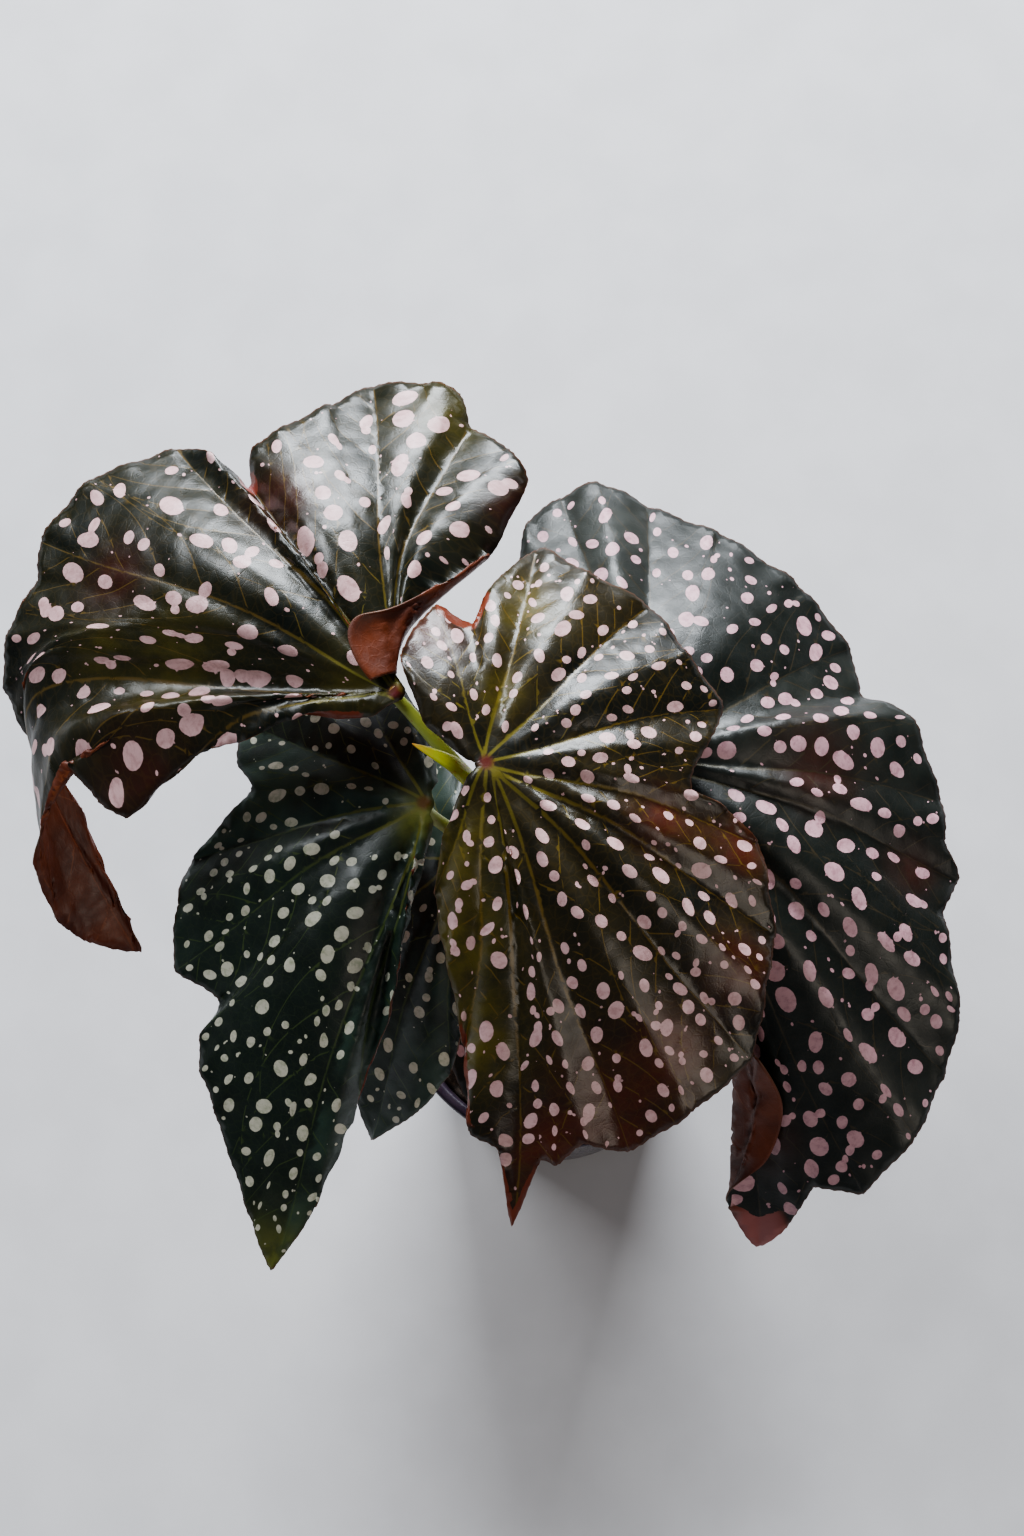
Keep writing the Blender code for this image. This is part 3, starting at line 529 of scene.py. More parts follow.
def vein_rows(veins):
    """Points along the middle and both sides of each vein."""
    rows = []
    for line, widths, _ in veins:
        ahead = np.gradient(line, axis=0)
        side = np.stack([-ahead[:, 1], ahead[:, 0]], axis=1) / norms(ahead)[:, None]
        rows += [line, line + side * widths[:, None], line - side * widths[:, None]]
    return np.concatenate(rows)


def scatter_spots(sheet, veins, seed, tries, dot_tries, sizes, clearance):
    """Spots, and then dots, as rows of x, y, half length, half width and bearing."""
    rng = np.random.default_rng(seed)
    main = np.concatenate([line for line, _, sink in veins if sink > BRANCH_DEPTH])
    longest = sheet.lengths(sheet.bearings).max()
    found = np.empty((0, 5))
    for count, (small, large) in ((tries, sizes), (dot_tries, DOT_SIZES)):
        bearing = rng.uniform(sheet.bearings[-1], sheet.bearings[0], count)
        distance = longest * np.sqrt(rng.uniform(NEAREST_SHARE, 1, count))
        size = small + (large - small) * rng.uniform(0, 1, count)
        long = rng.uniform(*SPOT_LONG, count)
        swing = rng.normal(0, SPOT_SWING, count)
        twin = rng.uniform(0, 1, count) < TWIN_SHARE
        twin_swing = rng.uniform(0, math.tau, count)
        rooms = sheet.lengths(bearing) - distance
        places = flat_place(bearing, distance)
        for k, (spot, room) in enumerate(zip(places, rooms)):
            if distance[k] < FIRST_SPOT or room < LEAST_ROOM:
                continue
            half = size[k] * min(1, INNER_SIZE + distance[k] / INNER_REACH, OUTER_SIZE + room / OUTER_REACH)
            half = max(half, DOT_SIZES[0])
            half_long = half * long[k]
            if room < half_long + SPOT_MARGIN_ROOM:
                continue
            if norms(main - spot).min() < SPOT_VEIN_ROOM + half * SPOT_OVER_VEIN:
                continue
            gaps = norms(found[:, :2] - spot) - found[:, 2] - half_long
            if len(gaps) and gaps.min() < clearance * min(1, half):
                continue
            found = np.vstack([found, [*spot, half_long, half, bearing[k] + swing[k]]])
            if twin[k] and half > small and room > TWIN_ROOM * half:
                beside = spot + TWIN_OFFSET * half * heading(twin_swing[k])
                found = np.vstack([found, [*beside, half * TWIN_LENGTH, half * TWIN_WIDTH, twin_swing[k]]])
    return found


def edge_width(half):
    """The width of the soft edge of a spot that is half this wide."""
    return min(SPOT_EDGE, half * SPOT_EDGE_SHARE)


def spot_field(spots, flat):
    """1 inside each spot and 0 outside, with a soft edge."""
    value = np.zeros(len(flat))
    for x, y, half_long, half, bearing in spots:
        offset = flat - (x, y)
        close = np.flatnonzero(np.abs(offset).max(axis=1) < half_long)
        c, s = math.cos(bearing), math.sin(bearing)
        along, across_it = offset[close] @ (c, s), offset[close] @ (-s, c)
        radius = np.hypot(along / half_long, across_it / half)
        value[close] = np.maximum(value[close], np.clip((1 - radius) * half / edge_width(half), 0, 1))
    return value


def spot_rows(spots):
    """Points round the outer and inner edge of each spot, and its middle."""
    rows = []
    for x, y, half_long, half, bearing in spots:
        count = SPOT_SIDES if half > DOT_SIZES[1] else DOT_SIDES
        angle = np.arange(count) * math.tau / count
        c, s = math.cos(bearing), math.sin(bearing)
        for share in (1, 1 - edge_width(half) / half):
            a, b = half_long * share * np.cos(angle), half * share * np.sin(angle)
            rows.append(np.stack([x + a * c - b * s, y + a * s + b * c], axis=1))
        rows.append(np.array([[x, y]]))
    return np.concatenate(rows)


def seen_from_above(points):
    """A tree that finds the points nearest to a place, whatever their heights."""
    tree = KDTree(len(points))
    for k, point in enumerate(points):
        tree.insert((point[0], point[1], 0), k)
    tree.balance()
    return tree


def clear_of(points, fixed, least):
    """The points that are at least this far from all the fixed ones."""
    tree = seen_from_above(fixed)
    return points[[tree.find((x, y, 0))[2] > least for x, y in points]]


def thinned(points, least):
    """The points with any that crowd an earlier one left out."""
    cells, kept = {}, []
    for k, (x, y) in enumerate(points):
        i, j = int(x // least), int(y // least)
        cells_beside = [(a, b) for a in (i - 1, i, i + 1) for b in (j - 1, j, j + 1)]
        if all(math.hypot(a - x, b - y) > least for cell in cells_beside for a, b in cells.get(cell, ())):
            cells.setdefault((i, j), []).append((x, y))
            kept.append(k)
    return points[kept]


def even_field(sheet, spacing):
    """Points in an even pattern of triangles all over the flattened leaf."""
    longest = sheet.lengths(sheet.bearings).max() + spacing
    rows = np.arange(-longest, longest, spacing * math.sqrt(0.75))
    columns = np.arange(-longest, longest, spacing)
    field = np.array([(x + spacing / 2 * (k % 2), y) for k, y in enumerate(rows) for x in columns])
    return field[sheet.inside(field, spacing * FIELD_MARGIN_GAP)]


def add_turn(points, faces, sheet, rim, turn):
    """Adds a stretch of margin that is turned over: rows from the crease to the free edge."""
    places = points[rim]
    first, last = (np.argmin(norms(places - place(sheet.junction, *end))) for end in (turn.start, turn.end))
    crease = places[first:last + 1]
    edge = np.array([crease[0], *(place(sheet.junction, *point) for point in turn.edge), crease[-1]])
    ending = [rim[last]] if turn.closes else []
    edge = edge if turn.closes else edge[:-1]
    run = distances(crease)
    share = run / run[-1] * (len(edge) - 1)
    i = np.minimum(share.astype(int), len(edge) - 2)
    turned_part = slice(1, -1 if turn.closes else None)
    free = between(edge, i, share - i, HALFWAY_SMOOTH)[turned_part]
    crease, run = crease[turned_part], run[turned_part]
    lift = np.minimum(turn.lift, FOLD_LIFT * norms(free - crease))
    control = crease * (1 - FOLD_LEAN) + free * FOLD_LEAN + lift[:, None] * (0, 0, 1)
    # The rows are smoothed, and stay clear above the blade that they lie over
    padded = np.concatenate([2 * free[:1] - free[3:0:-1], free, 2 * free[-1:] - free[-2:-5:-1]])
    free = np.stack([np.convolve(padded[:, axis], TURN_KERNEL, "valid") for axis in range(3)], axis=1)
    tree, heights = seen_from_above(points), points[:, 2]
    inner = list(rim[first:last + 1])
    for row in range(1, TURN_ROWS + 1):
        q = row / TURN_ROWS
        start = len(points)
        added = crease * (1 - q) ** 2 + 2 * control * q * (1 - q) + free * q * q
        added[:, 2] += TURN_RIPPLE * q * np.sin(run / TURN_RIPPLE_LENGTH + row * TURN_RIPPLE_SHIFT)
        ground = np.array([max(heights[k] for _, k, _ in tree.find_n((x, y, 0), TURN_NEIGHBOURS))
                           for x, y, _ in added])
        least = ground + TURN_ROOM * min(1, TURN_ROOM_START + TURN_ROOM_GROWTH * q)
        added[:, 2] = least + TURN_SOFTNESS * np.logaddexp(0, (added[:, 2] - least) / TURN_SOFTNESS)
        points = np.concatenate([points, added])
        outer = [inner[0], *range(start, len(points)), *ending]
        for k in range(len(inner) - 1):
            faces.append(tuple(dict.fromkeys([inner[k], inner[k + 1], outer[k + 1], outer[k]])))
        inner = outer
    return points


def polar(bearing, reach):
    angle = math.radians(bearing)
    return reach * math.cos(angle), reach * math.sin(angle)


def place(junction, bearing, reach, rise):
    return np.array(junction, float) + (*polar(bearing, reach), rise)


def normals_of(points, faces):
    """The direction up out of the sheet at each point."""
    faces = np.array(faces)
    corners = points[faces]
    normal = np.cross(corners[:, 1] - corners[:, 0], corners[:, 2] - corners[:, 0])
    total = np.zeros_like(points)
    for k in range(3):
        np.add.at(total, faces[:, k], normal)
    total /= np.maximum(norms(total), TINY)[:, None]
    return total if total[:, 2].sum() > 0 else -total


def set_attribute(mesh, name, values):
    """Stores a number, or a place, with each point of the mesh."""
    values = np.asarray(values, np.float32)
    kind, key = ("FLOAT", "value") if values.ndim == 1 else ("FLOAT_VECTOR", "vector")
    mesh.attributes.new(name, kind, "POINT").data.foreach_set(key, values.ravel())


def mesh_from(name, points, faces):
    mesh = bpy.data.meshes.new(name)
    mesh.from_pydata((np.asarray(points, float) * MM).tolist(), [], faces)
    mesh.update()
    return mesh


def ring_faces(points, sides):
    """The faces between each ring of this many points and the next."""
    faces = []
    for start in range(0, len(points) - sides, sides):
        for step in range(sides):
            here, beside = start + step, start + (step + 1) % sides
            faces.append((here, beside, beside + sides, here + sides))
    return faces


def smooth_outside(mesh, upward=False):
    """Faces the mesh outwards, or upwards if it is an open sheet, and shades it smooth."""
    bm = bmesh.new()
    bm.from_mesh(mesh)
    bmesh.ops.recalc_face_normals(bm, faces=bm.faces)
    if upward and sum(face.normal.z * face.calc_area() for face in bm.faces) < 0:
        bmesh.ops.reverse_faces(bm, faces=bm.faces)
    bmesh.ops.delete(bm, geom=[vert for vert in bm.verts if not vert.link_faces], context="VERTS")
    bm.to_mesh(mesh)
    bm.free()
    mesh.shade_smooth()


def new_object(name, data):
    obj = bpy.data.objects.new(name, data)
    bpy.context.scene.collection.objects.link(obj)
    return obj


def add_piece(name, mesh, materials, replaced=()):
    obj = new_object(name, mesh)
    for finish in materials:
        mesh.materials.append(finish)
    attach(obj, "root")
    if replaced:
        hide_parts(*replaced)
    return obj


def relief_of(run, room, distance, flat, depth):
    """How far each point is raised by the margin's ruffle and the puckers, and sunk by the veins."""
    ruffle = RUFFLE_HEIGHT * bell(room, RUFFLE_REACH) * np.sin(run * math.tau / RUFFLE_LENGTH)
    x, y = flat.T
    waves = (np.sin(x * math.tau / PUCKER_SIZES[0] + np.sin(y / PUCKER_BENDS[0]) * PUCKER_SWINGS[0])
             * np.sin(y * math.tau / PUCKER_SIZES[1] + np.sin(x / PUCKER_BENDS[1]) * PUCKER_SWINGS[1]))
    raised = (ruffle + PUCKER_HEIGHT * waves) * (1 - bell(distance, RELIEF_GROWTH))
    return raised - depth * np.clip(distance / GROOVE_GROWTH, LEAST_GROOVE, 1)


def make_blade(name, blade, materials):
    """One blade: its flattened leaf cut into triangles, bent to shape, with its turned margins added."""
    sheet = Sheet(blade)
    veins = veins_of(sheet)
    spots = scatter_spots(sheet, veins, *SCATTER[name])
    margin = flat_place(*outline(sheet))
    count = len(margin)
    detail = np.concatenate([spot_rows(spots), vein_rows(veins)])
    detail = detail[sheet.inside(detail, DETAIL_ROOM)]
    detail = clear_of(thinned(detail, DETAIL_GAP), margin, MARGIN_GAP)
    field = clear_of(even_field(sheet, FIELD_STEP), np.concatenate([margin, detail]), FIELD_STEP * FIELD_GAP)
    flat = np.concatenate([margin, [[0, 0]], detail, field])
    edges = [(k, (k + 1) % count) for k in range(count)]
    found = delaunay_2d_cdt([Vector(point) for point in flat], edges, [], 1, JOIN_GAP)
    flat = np.array([tuple(point) for point in found[0]])
    made_from = {old: new for new, olds in enumerate(found[3]) for old in olds}
    rim = np.array([made_from[k] for k in range(count)])
    faces = [tuple(face) for face in found[2]]
    bearing, distance = sheet.from_flat(flat)
    run = sheet.along(bearing)
    room = np.maximum(sheet.lengths(np.clip(bearing, sheet.bearings[-1], None)) - distance, 0)
    near, depth = vein_field(veins, flat)
    points = sheet.points(bearing, distance)
    points += relief_of(run, room, distance, flat, depth)[:, None] * normals_of(points, faces)
    # What the materials read at each point, and what they find instead on a turned margin
    tones = np.random.default_rng(SCATTER[name][0] + TONE_SEED).uniform(0, 1, len(sheet.pleats))
    fields = {
        "spot": (spot_field(spots, flat), 0),
        "vein": (near, 0),
        "out": (distance / FULL_REACH, TURN_OUT),
        "room": (room, TURN_MARGIN),
        "tone": (tones[np.maximum(np.searchsorted(sheet.pleats, run) - 1, 0)], 0),
    }
    for kind, gain in TINT_GAINS.items():
        tint = np.zeros(len(points))
        for x, y, radius in TINTS[name].get(kind, ()):
            tint += bell(norms(points[:, :2] - (x, y)), radius)
        fields[kind] = (np.clip(tint * gain, 0, 1), 0)
    known = len(points)
    for turn in blade.get("turns", ()):
        points = add_turn(points, faces, sheet, rim, turn)
    mesh = mesh_from(name, points, faces)
    for kind, (values, on_turn) in fields.items():
        set_attribute(mesh, kind, np.concatenate([values, np.full(len(points) - known, on_turn)]))
    set_attribute(mesh, "flat", np.concatenate([np.pad(flat, ((0, 0), (0, 1))), points[known:]]))
    smooth_outside(mesh, upward=True)
    piece = add_piece(name + "_blade", mesh, materials, (name,))
    solidify = piece.modifiers.new("thickness", "SOLIDIFY")
    solidify.thickness = BLADE_THICKNESS * MM
    solidify.offset = -1
    solidify.material_offset = 1
    solidify.material_offset_rim = 2


# Materials

DARK, MID = (0.004, 0.0065, 0.003), (0.014, 0.014, 0.005)
# Olive and bronze: partly the leaf's own tone, partly painted glow of light shining through the blade
OLIVE_AND_GLOW, BRONZE_AND_GLOW = (0.062, 0.052, 0.007), (0.045, 0.011, 0.005)
VEIN_INNER, VEIN_OUTER = (0.19, 0.18, 0.025), (0.13, 0.08, 0.015)
PINK, PINK_DEEP = (0.66, 0.42, 0.42), (0.5, 0.29, 0.29)
ROSE, ROSE_DEEP = (0.64, 0.38, 0.42), (0.46, 0.24, 0.28)
WHITE, WHITE_DEEP = (0.6, 0.58, 0.47), (0.38, 0.4, 0.28)
LIME = (0.2, 0.21, 0.03)
CRIMSON, AMBER = (0.1, 0.008, 0.01), (0.15, 0.055, 0.012)
MARGIN_BROWN = (0.16, 0.06, 0.03)
FOLD_RED, FOLD_PINK = (0.17, 0.035, 0.014), (0.36, 0.12, 0.11)
GLOSSY, SATIN = (0.27, 0.41), (0.36, 0.5)

# The upper sides: colours of the ground, patches, veins, spots and junction, and the roughness
Top = namedtuple("Top", "dark mid olive bronze vein_inner vein_outer spot spot_deep heart gloss")
GREEN_TOP = Top(DARK, MID, OLIVE_AND_GLOW, BRONZE_AND_GLOW, VEIN_INNER, VEIN_OUTER, PINK, PINK_DEEP, CRIMSON, GLOSSY)
BRONZE_TOP = GREEN_TOP._replace(dark=(0.005, 0.006, 0.003), mid=(0.023, 0.017, 0.005),
                                olive=(0.092, 0.072, 0.007), bronze=(0.078, 0.015, 0.005),
                                vein_inner=(0.17, 0.145, 0.018), vein_outer=(0.15, 0.09, 0.012))
# The rose and white tops have a lighter, greyer ground than the others: painted silvery sheen, standing for
# light reflected off these blades
ROSE_TOP_PAINTED_SHEEN = Top((0.005, 0.008, 0.005), (0.02, 0.024, 0.018), OLIVE_AND_GLOW, BRONZE_AND_GLOW, (0.1, 0.09, 0.03),
               (0.05, 0.035, 0.014), ROSE, ROSE_DEEP, AMBER, SATIN)
WHITE_TOP_PAINTED_SHEEN = Top((0.006, 0.012, 0.007), (0.03, 0.06, 0.042), LIME, BRONZE_AND_GLOW, VEIN_INNER,
                (0.06, 0.09, 0.025), WHITE, WHITE_DEEP, AMBER, SATIN)


class Wire:
    """Short ways to make a material out of nodes."""

    def __init__(self, name):
        self.material = bpy.data.materials.new(name)
        self.material.use_nodes = True
        self.tree = self.material.node_tree
        self.shader = self.tree.nodes["Principled BSDF"].inputs

    def put(self, socket, value):
        """Links the socket to another one, or gives it a number or a colour."""
        if isinstance(value, bpy.types.NodeSocket):
            self.tree.links.new(value, socket)
        else:
            socket.default_value = (*value, 1) if socket.type == "RGBA" else value

    def node(self, kind, output, inputs=None, **settings):
        """The output of a new node, whose inputs go by name or number."""
        made = self.tree.nodes.new("ShaderNode" + kind)
        for name, value in settings.items():
            setattr(made, name, value)
        for key, value in (inputs or {}).items():
            self.put(made.inputs[key], value)
        return made.outputs[output]

    def attribute(self, name, output="Fac"):
        return self.node("Attribute", output, attribute_name=name)

    def object_place(self):
        return self.node("TexCoord", "Object")

    def math(self, operation, a, b):
        return self.node("Math", 0, {0: a, 1: b}, operation=operation)

    def plus(self, a, b):
        return self.math("ADD", a, b)

    def times(self, a, b):
        return self.math("MULTIPLY", a, b)

    def mix(self, factor, a, b):
        return self.node("Mix", 2, {0: factor, 6: a, 7: b}, data_type="RGBA")

    def ramp(self, value, low, high, to_low=0, to_high=1, kind="SMOOTHSTEP"):
        inputs = dict(enumerate((value, low, high, to_low, to_high)))
        return self.node("MapRange", 0, inputs, interpolation_type=kind)

    def noise(self, vector, scale, detail=3, roughness=0.5):
        inputs = {"Vector": vector, "Scale": scale, "Detail": detail, "Roughness": roughness}
        return self.node("TexNoise", "Fac", inputs)

    def cells(self, vector, scale, output="Distance", feature="F1"):
        return self.node("TexVoronoi", output, {"Vector": vector, "Scale": scale}, feature=feature)

    def net(self, vector, scale, width):
        """1 in the middle of the lines of a net, and 0 beside them."""
        return self.ramp(self.cells(vector, scale, feature="DISTANCE_TO_EDGE"), 0, width, 1, 0)

    def finished(self, colour, roughness, height, distance, strength):
        """The material, with this colour and roughness, and a bump of this distance in metres."""
        bump = self.node("Bump", "Normal", {"Height": height, "Distance": distance, "Strength": strength})
        for name, value in (("Base Color", colour), ("Roughness", roughness), ("Normal", bump)):
            self.put(self.shader[name], value)
        return self.material


def top_material(name, look):
    """The glossy upper side: dark green, or a lighter ground of painted sheen, with tinted patches that are
    partly painted glow of light through the blade, veins, a net of fine veins, spots and dots.
    """
    w = Wire(name)
    flat = w.attribute("flat", "Vector")
    out, room, spot, under, pale = (w.attribute(kind) for kind in ("out", "room", "spot", "under", "pale"))
    # The ground, with its patches; the olive and bronze ones are partly painted glow of light through the
    # blade
    tone = w.ramp(w.attribute("tone"), 0.15, 0.85, 0.15, 1.5)
    colour = w.mix(w.times(tone, w.ramp(w.noise(flat, 0.05, 4), 0.3, 0.65)), look.dark, look.mid)
    cloud = w.noise(flat, 0.11, 5, 0.6)
    colour = w.mix(w.times(w.attribute("olive"), w.ramp(cloud, 0.3, 0.6, 0.35)), colour, look.olive)
    colour = w.mix(w.times(w.attribute("bronze"), w.ramp(cloud, 0.25, 0.6, 0.45)), colour, look.bronze)
    # The net, the veins and the tint at the junction
    net = w.net(flat, 0.36, 0.09)
    colour = w.mix(w.times(net, 0.1), colour, look.vein_outer)
    vein_colour = w.mix(w.ramp(out, 0.02, 0.5), look.vein_inner, look.vein_outer)
    colour = w.mix(w.times(w.ramp(w.attribute("vein"), 0.05, 0.7), 0.75), colour, vein_colour)
    colour = w.mix(w.ramp(out, 0.01, 0.034, 0.9, 0), colour, look.heart)
    # Dots and spots
    dot_size = w.ramp(w.cells(flat, 0.26, "Color"), 0.35, 1, 0.02, 0.12, "LINEAR")
    dot = w.times(w.math("LESS_THAN", w.cells(flat, 0.26), dot_size), w.ramp(out, 0.08, 0.25))
    edge_noise = w.noise(flat, 0.9, 2)
    ragged = w.plus(spot, w.times(w.math("SUBTRACT", edge_noise, 0.5), 0.5))
    spotted = w.times(w.ramp(ragged, 0.25, 0.6), w.math("GREATER_THAN", spot, 0.001))
    spot_colour = w.mix(w.ramp(w.noise(flat, 0.5, 4, 0.65), 0.42, 0.7), look.spot, look.spot_deep)
    colour = w.mix(w.times(dot, 0.75), colour, spot_colour)
    colour = w.mix(spotted, colour, spot_colour)
    # The margin, red where it curls under
    colour = w.mix(w.ramp(room, 0.1, 0.6, 0.5, 0), colour, MARGIN_BROWN)
    fold = w.mix(w.ramp(pale, 0.4, 1), FOLD_RED, FOLD_PINK)
    edge_reach = w.plus(w.ramp(pale, 0.2, 0.8, 0, 6), w.ramp(under, 0.5, 1, 1.8, 3.6))
    curled = w.math("LESS_THAN", room, w.plus(edge_reach, w.times(edge_noise, 2)))
    colour = w.mix(w.times(w.ramp(under, 0.3, 0.55), curled), colour, fold)
    # Gloss and relief
    w.shader["Specular IOR Level"].default_value = 0.58
    shine = w.ramp(w.noise(flat, 0.12, 4, 0.55), 0.3, 0.75, *look.gloss)
    grain = w.times(w.noise(flat, 2.4, 3, 0.6), 0.6)
    grooves = w.plus(w.times(net, 0.6), w.times(w.net(flat, 1.1, 0.2), 0.3))
    height = w.math("SUBTRACT", grain, grooves)
    return w.finished(colour, w.plus(shine, w.times(spotted, 0.08)), height, 0.00005, 0.4)


def underside_material(name, red, deep, vein_tint):
    w = Wire(name)
    flat = w.attribute("flat", "Vector")
    net = w.net(flat, 0.36, 0.1)
    colour = w.mix(w.ramp(w.noise(flat, 0.08, 4), 0.3, 0.7), red, deep)
    colour = w.mix(w.times(net, 0.1), colour, vein_tint)
    colour = w.mix(w.times(w.ramp(w.attribute("vein"), 0.02, 0.6), 0.8), colour, vein_tint)
    roughness = w.ramp(w.noise(flat, 0.3), 0.3, 0.7, 0.38, 0.55)
    return w.finished(colour, roughness, w.plus(w.noise(flat, 1.8), w.times(net, 0.4)), 0.00008, 0.6)


def stalk_material(name, young, old, blush):
    w = Wire(name)
    where = w.object_place()
    age = w.plus(w.attribute("age"), w.times(w.noise(where, 60), 0.3))
    fleck = w.ramp(w.noise(where, 700, 2), 0.62, 0.72)
    colour = w.mix(w.ramp(age, 0.2, 1), young, old)
    colour = w.mix(w.times(fleck, 0.5), colour, blush)
    colour = w.mix(w.attribute("blush"), colour, blush)
    roughness = w.ramp(w.noise(where, 300), 0.3, 0.7, 0.3, 0.48)
    return w.finished(colour, roughness, w.noise(where, 900), 0.0001, 0.6)


def pot_material():
    w = Wire("pot_glaze")
    where = w.object_place()
    speck = w.ramp(w.noise(where, 900, 2), 0.66, 0.74)
    glaze = w.ramp(w.noise(where, 28, 5, 0.6), 0.3, 0.7)
    colour = w.mix(glaze, (0.022, 0.014, 0.028), (0.05, 0.034, 0.052))
    colour = w.mix(w.times(speck, 0.35), colour, (0.16, 0.13, 0.15))
    roughness = w.ramp(w.noise(where, 120, 4), 0.3, 0.7, 0.22, 0.36)
    w.shader["Coat Weight"].default_value = 0.3
    w.shader["Coat Roughness"].default_value = 0.12
    return w.finished(colour, roughness, w.noise(where, 240), 0.0002, 0.5)


def soil_material():
    w = Wire("soil")
    where = w.object_place()
    damp = w.ramp(w.noise(where, 320, 5, 0.7), 0.35, 0.65)
    colour = w.mix(damp, (0.012, 0.008, 0.006), (0.06, 0.038, 0.024))
    roughness = w.ramp(w.noise(where, 500), 0.3, 0.7, 0.8, 1)
    return w.finished(colour, roughness, w.noise(where, 1400, 4, 0.7), 0.0006, 0.9)


# Stem, stalks and sheaths

CANE_FOOT = (-4, 3, 74)
CANE_TIP = (-25, 14, 286)
CANE_FOOT_RADIUS = 4.6
CANE_TIP_RADIUS = 2.6
CANE_STEP = 1.5
CANE_SIDES = 32
NODE_HEIGHTS = (118, 158, 198, 232, 258, 280)
# Each node's swelling, the waist beside it and the red ring round it: how much, and how wide
NODE_SWELL, NODE_WIDTH = 1.1, 3.2
WAIST_DEPTH, WAIST_GAP, WAIST_WIDTH = 0.35, 4.5, 1.5
RING_BLUSH, RING_WIDTH = 0.55, 1.6

STALK_FOOT_RADIUS = 2.3
STALK_TIP_RADIUS = 1.6
STALK_STEP = 1.6
STALK_AGE, STALK_AGEING = 0.1, 0.25
STALK_SWELL, STALK_SWELL_SHARE = 0.7, 0.08
TIP_BLUSH, TIP_BLUSH_SHARE = 0.7, 0.06
STALK_GROOVES = 0.03
GROOVE_COUNT = 5
# Where a stalk ends in the blade's thickness, and how far it runs straight up to there
STALK_SINK = 0.4
STALK_RISE = 3

# Sheaths: root, middle, point and greatest radius
SHEATHS = (
    ((-26, 14, 283), (-32, 16, 297), (-43, 20, 303), 2.9),
    ((-24, 13, 284), (-19, 6, 290), (-17, 1, 297), 1.5),
)
SHEATH_STEP = 0.7
SHEATH_FLATNESS = 0.55
SHEATH_START = 0.05
SHEATH_FULLNESS = 0.7
SHEATH_POINT = 0.08
SHEATH_BLUSH = 0.75


def cane_share(height):
    """How far up the cane this height is, 0 to 1."""
    return (height - CANE_FOOT[2]) / (CANE_TIP[2] - CANE_FOOT[2])


def cane_at(height):
    return Vector(CANE_FOOT).lerp(Vector(CANE_TIP), cane_share(height))


def smooth_route(points, spacing):
    """Points this far apart on a smooth curve through the given ones."""
    points = np.array(points, float)
    route = []
    for i, length in enumerate(norms(np.diff(points, axis=0))):
        count = max(1, round(length / spacing))
        route += [Vector(between(points, i, k / count, 1)) for k in range(count)]
    return [*route, Vector(points[-1])]


def tube(name, route, radii, ages, blushes, material, sides=20, flatten=1, grooves=0, replaced=()):
    """A closed tube along a route, with its own radius, age and blush at each point."""
    points = []
    side = Vector((0, 1, 0))
    for k, (centre, radius) in enumerate(zip(route, radii)):
        ahead = (route[min(k + 1, len(route) - 1)] - route[max(k - 1, 0)]).normalized()
        side = (side - ahead * side.dot(ahead)).normalized()
        other = ahead.cross(side) * flatten
        for step in range(sides):
            angle = math.tau * step / sides
            reach = radius * (1 + grooves * math.cos(GROOVE_COUNT * angle))
            points.append(centre + side * reach * math.cos(angle) + other * reach * math.sin(angle))
    caps = [tuple(reversed(range(sides))), tuple(range(len(points) - sides, len(points)))]
    mesh = mesh_from(name, points, ring_faces(points, sides) + caps)
    set_attribute(mesh, "age", np.repeat(ages, sides))
    set_attribute(mesh, "blush", np.repeat(blushes, sides))
    mesh.shade_smooth()
    add_piece(name, mesh, [material], replaced)


def make_stem(material):
    heights = np.arange(CANE_FOOT[2], CANE_TIP[2] + 0.1, CANE_STEP)
    share = cane_share(heights)
    nearest = np.abs(heights[:, None] - NODE_HEIGHTS).min(axis=1)
    swell = NODE_SWELL * bell(nearest, NODE_WIDTH) - WAIST_DEPTH * bell(nearest - WAIST_GAP, WAIST_WIDTH)
    radii = CANE_FOOT_RADIUS + (CANE_TIP_RADIUS - CANE_FOOT_RADIUS) * share + swell
    blush = RING_BLUSH * bell(nearest, RING_WIDTH)
    route = [cane_at(height) for height in heights]
    tube("stem", route, radii, 1 - share, blush, material, CANE_SIDES, replaced=("cane",))


def make_stalks(material):
    """The stalks, each thicker where it leaves the cane and redder under its blade."""
    for name, (height, route) in STALKS.items():
        tip = Vector(BLADES[name]["junction"]) - Vector((0, 0, STALK_SINK))
        below = tip - Vector((0, 0, STALK_RISE))
        points = smooth_route([cane_at(height), *route, below, tip], STALK_STEP)
        shares = np.linspace(0, 1, len(points))
        radii = STALK_FOOT_RADIUS + (STALK_TIP_RADIUS - STALK_FOOT_RADIUS) * shares
        radii += STALK_SWELL * bell(shares, STALK_SWELL_SHARE)
        blush = TIP_BLUSH * bell(1 - shares, TIP_BLUSH_SHARE)
        ages = STALK_AGE + STALK_AGEING * (1 - shares)
        tube(name + "_stalk", points, radii, ages, blush, material, grooves=STALK_GROOVES)


def make_sheaths(material):
    for number, (root, middle, point, radius) in enumerate(SHEATHS):
        points = smooth_route([root, middle, point], SHEATH_STEP)
        shares = np.linspace(SHEATH_START, 1, len(points))
        radii = radius * np.sin(math.pi * shares**SHEATH_FULLNESS) + SHEATH_POINT
        blush = np.clip((shares - SHEATH_BLUSH) / (1 - SHEATH_BLUSH), 0, 1)
        tube(f"sheath_{number}", points, radii, shares * 0, blush, material, flatten=SHEATH_FLATNESS)


# Pot and soil

POT_HEIGHT = 110
RIM_RADIUS = 55
BASE_RADIUS = 40
FLOOR_THICKNESS = 5
FLOOR_RINGS = (10, 20, 30)
WALL = 4
RIM_ROUND = 1.6
BASE_ROUND = 2.5
POT_STEPS = 144
OUTSIDE_ROWS = 24
INSIDE_ROWS = 16
CORNER_ROWS = 8

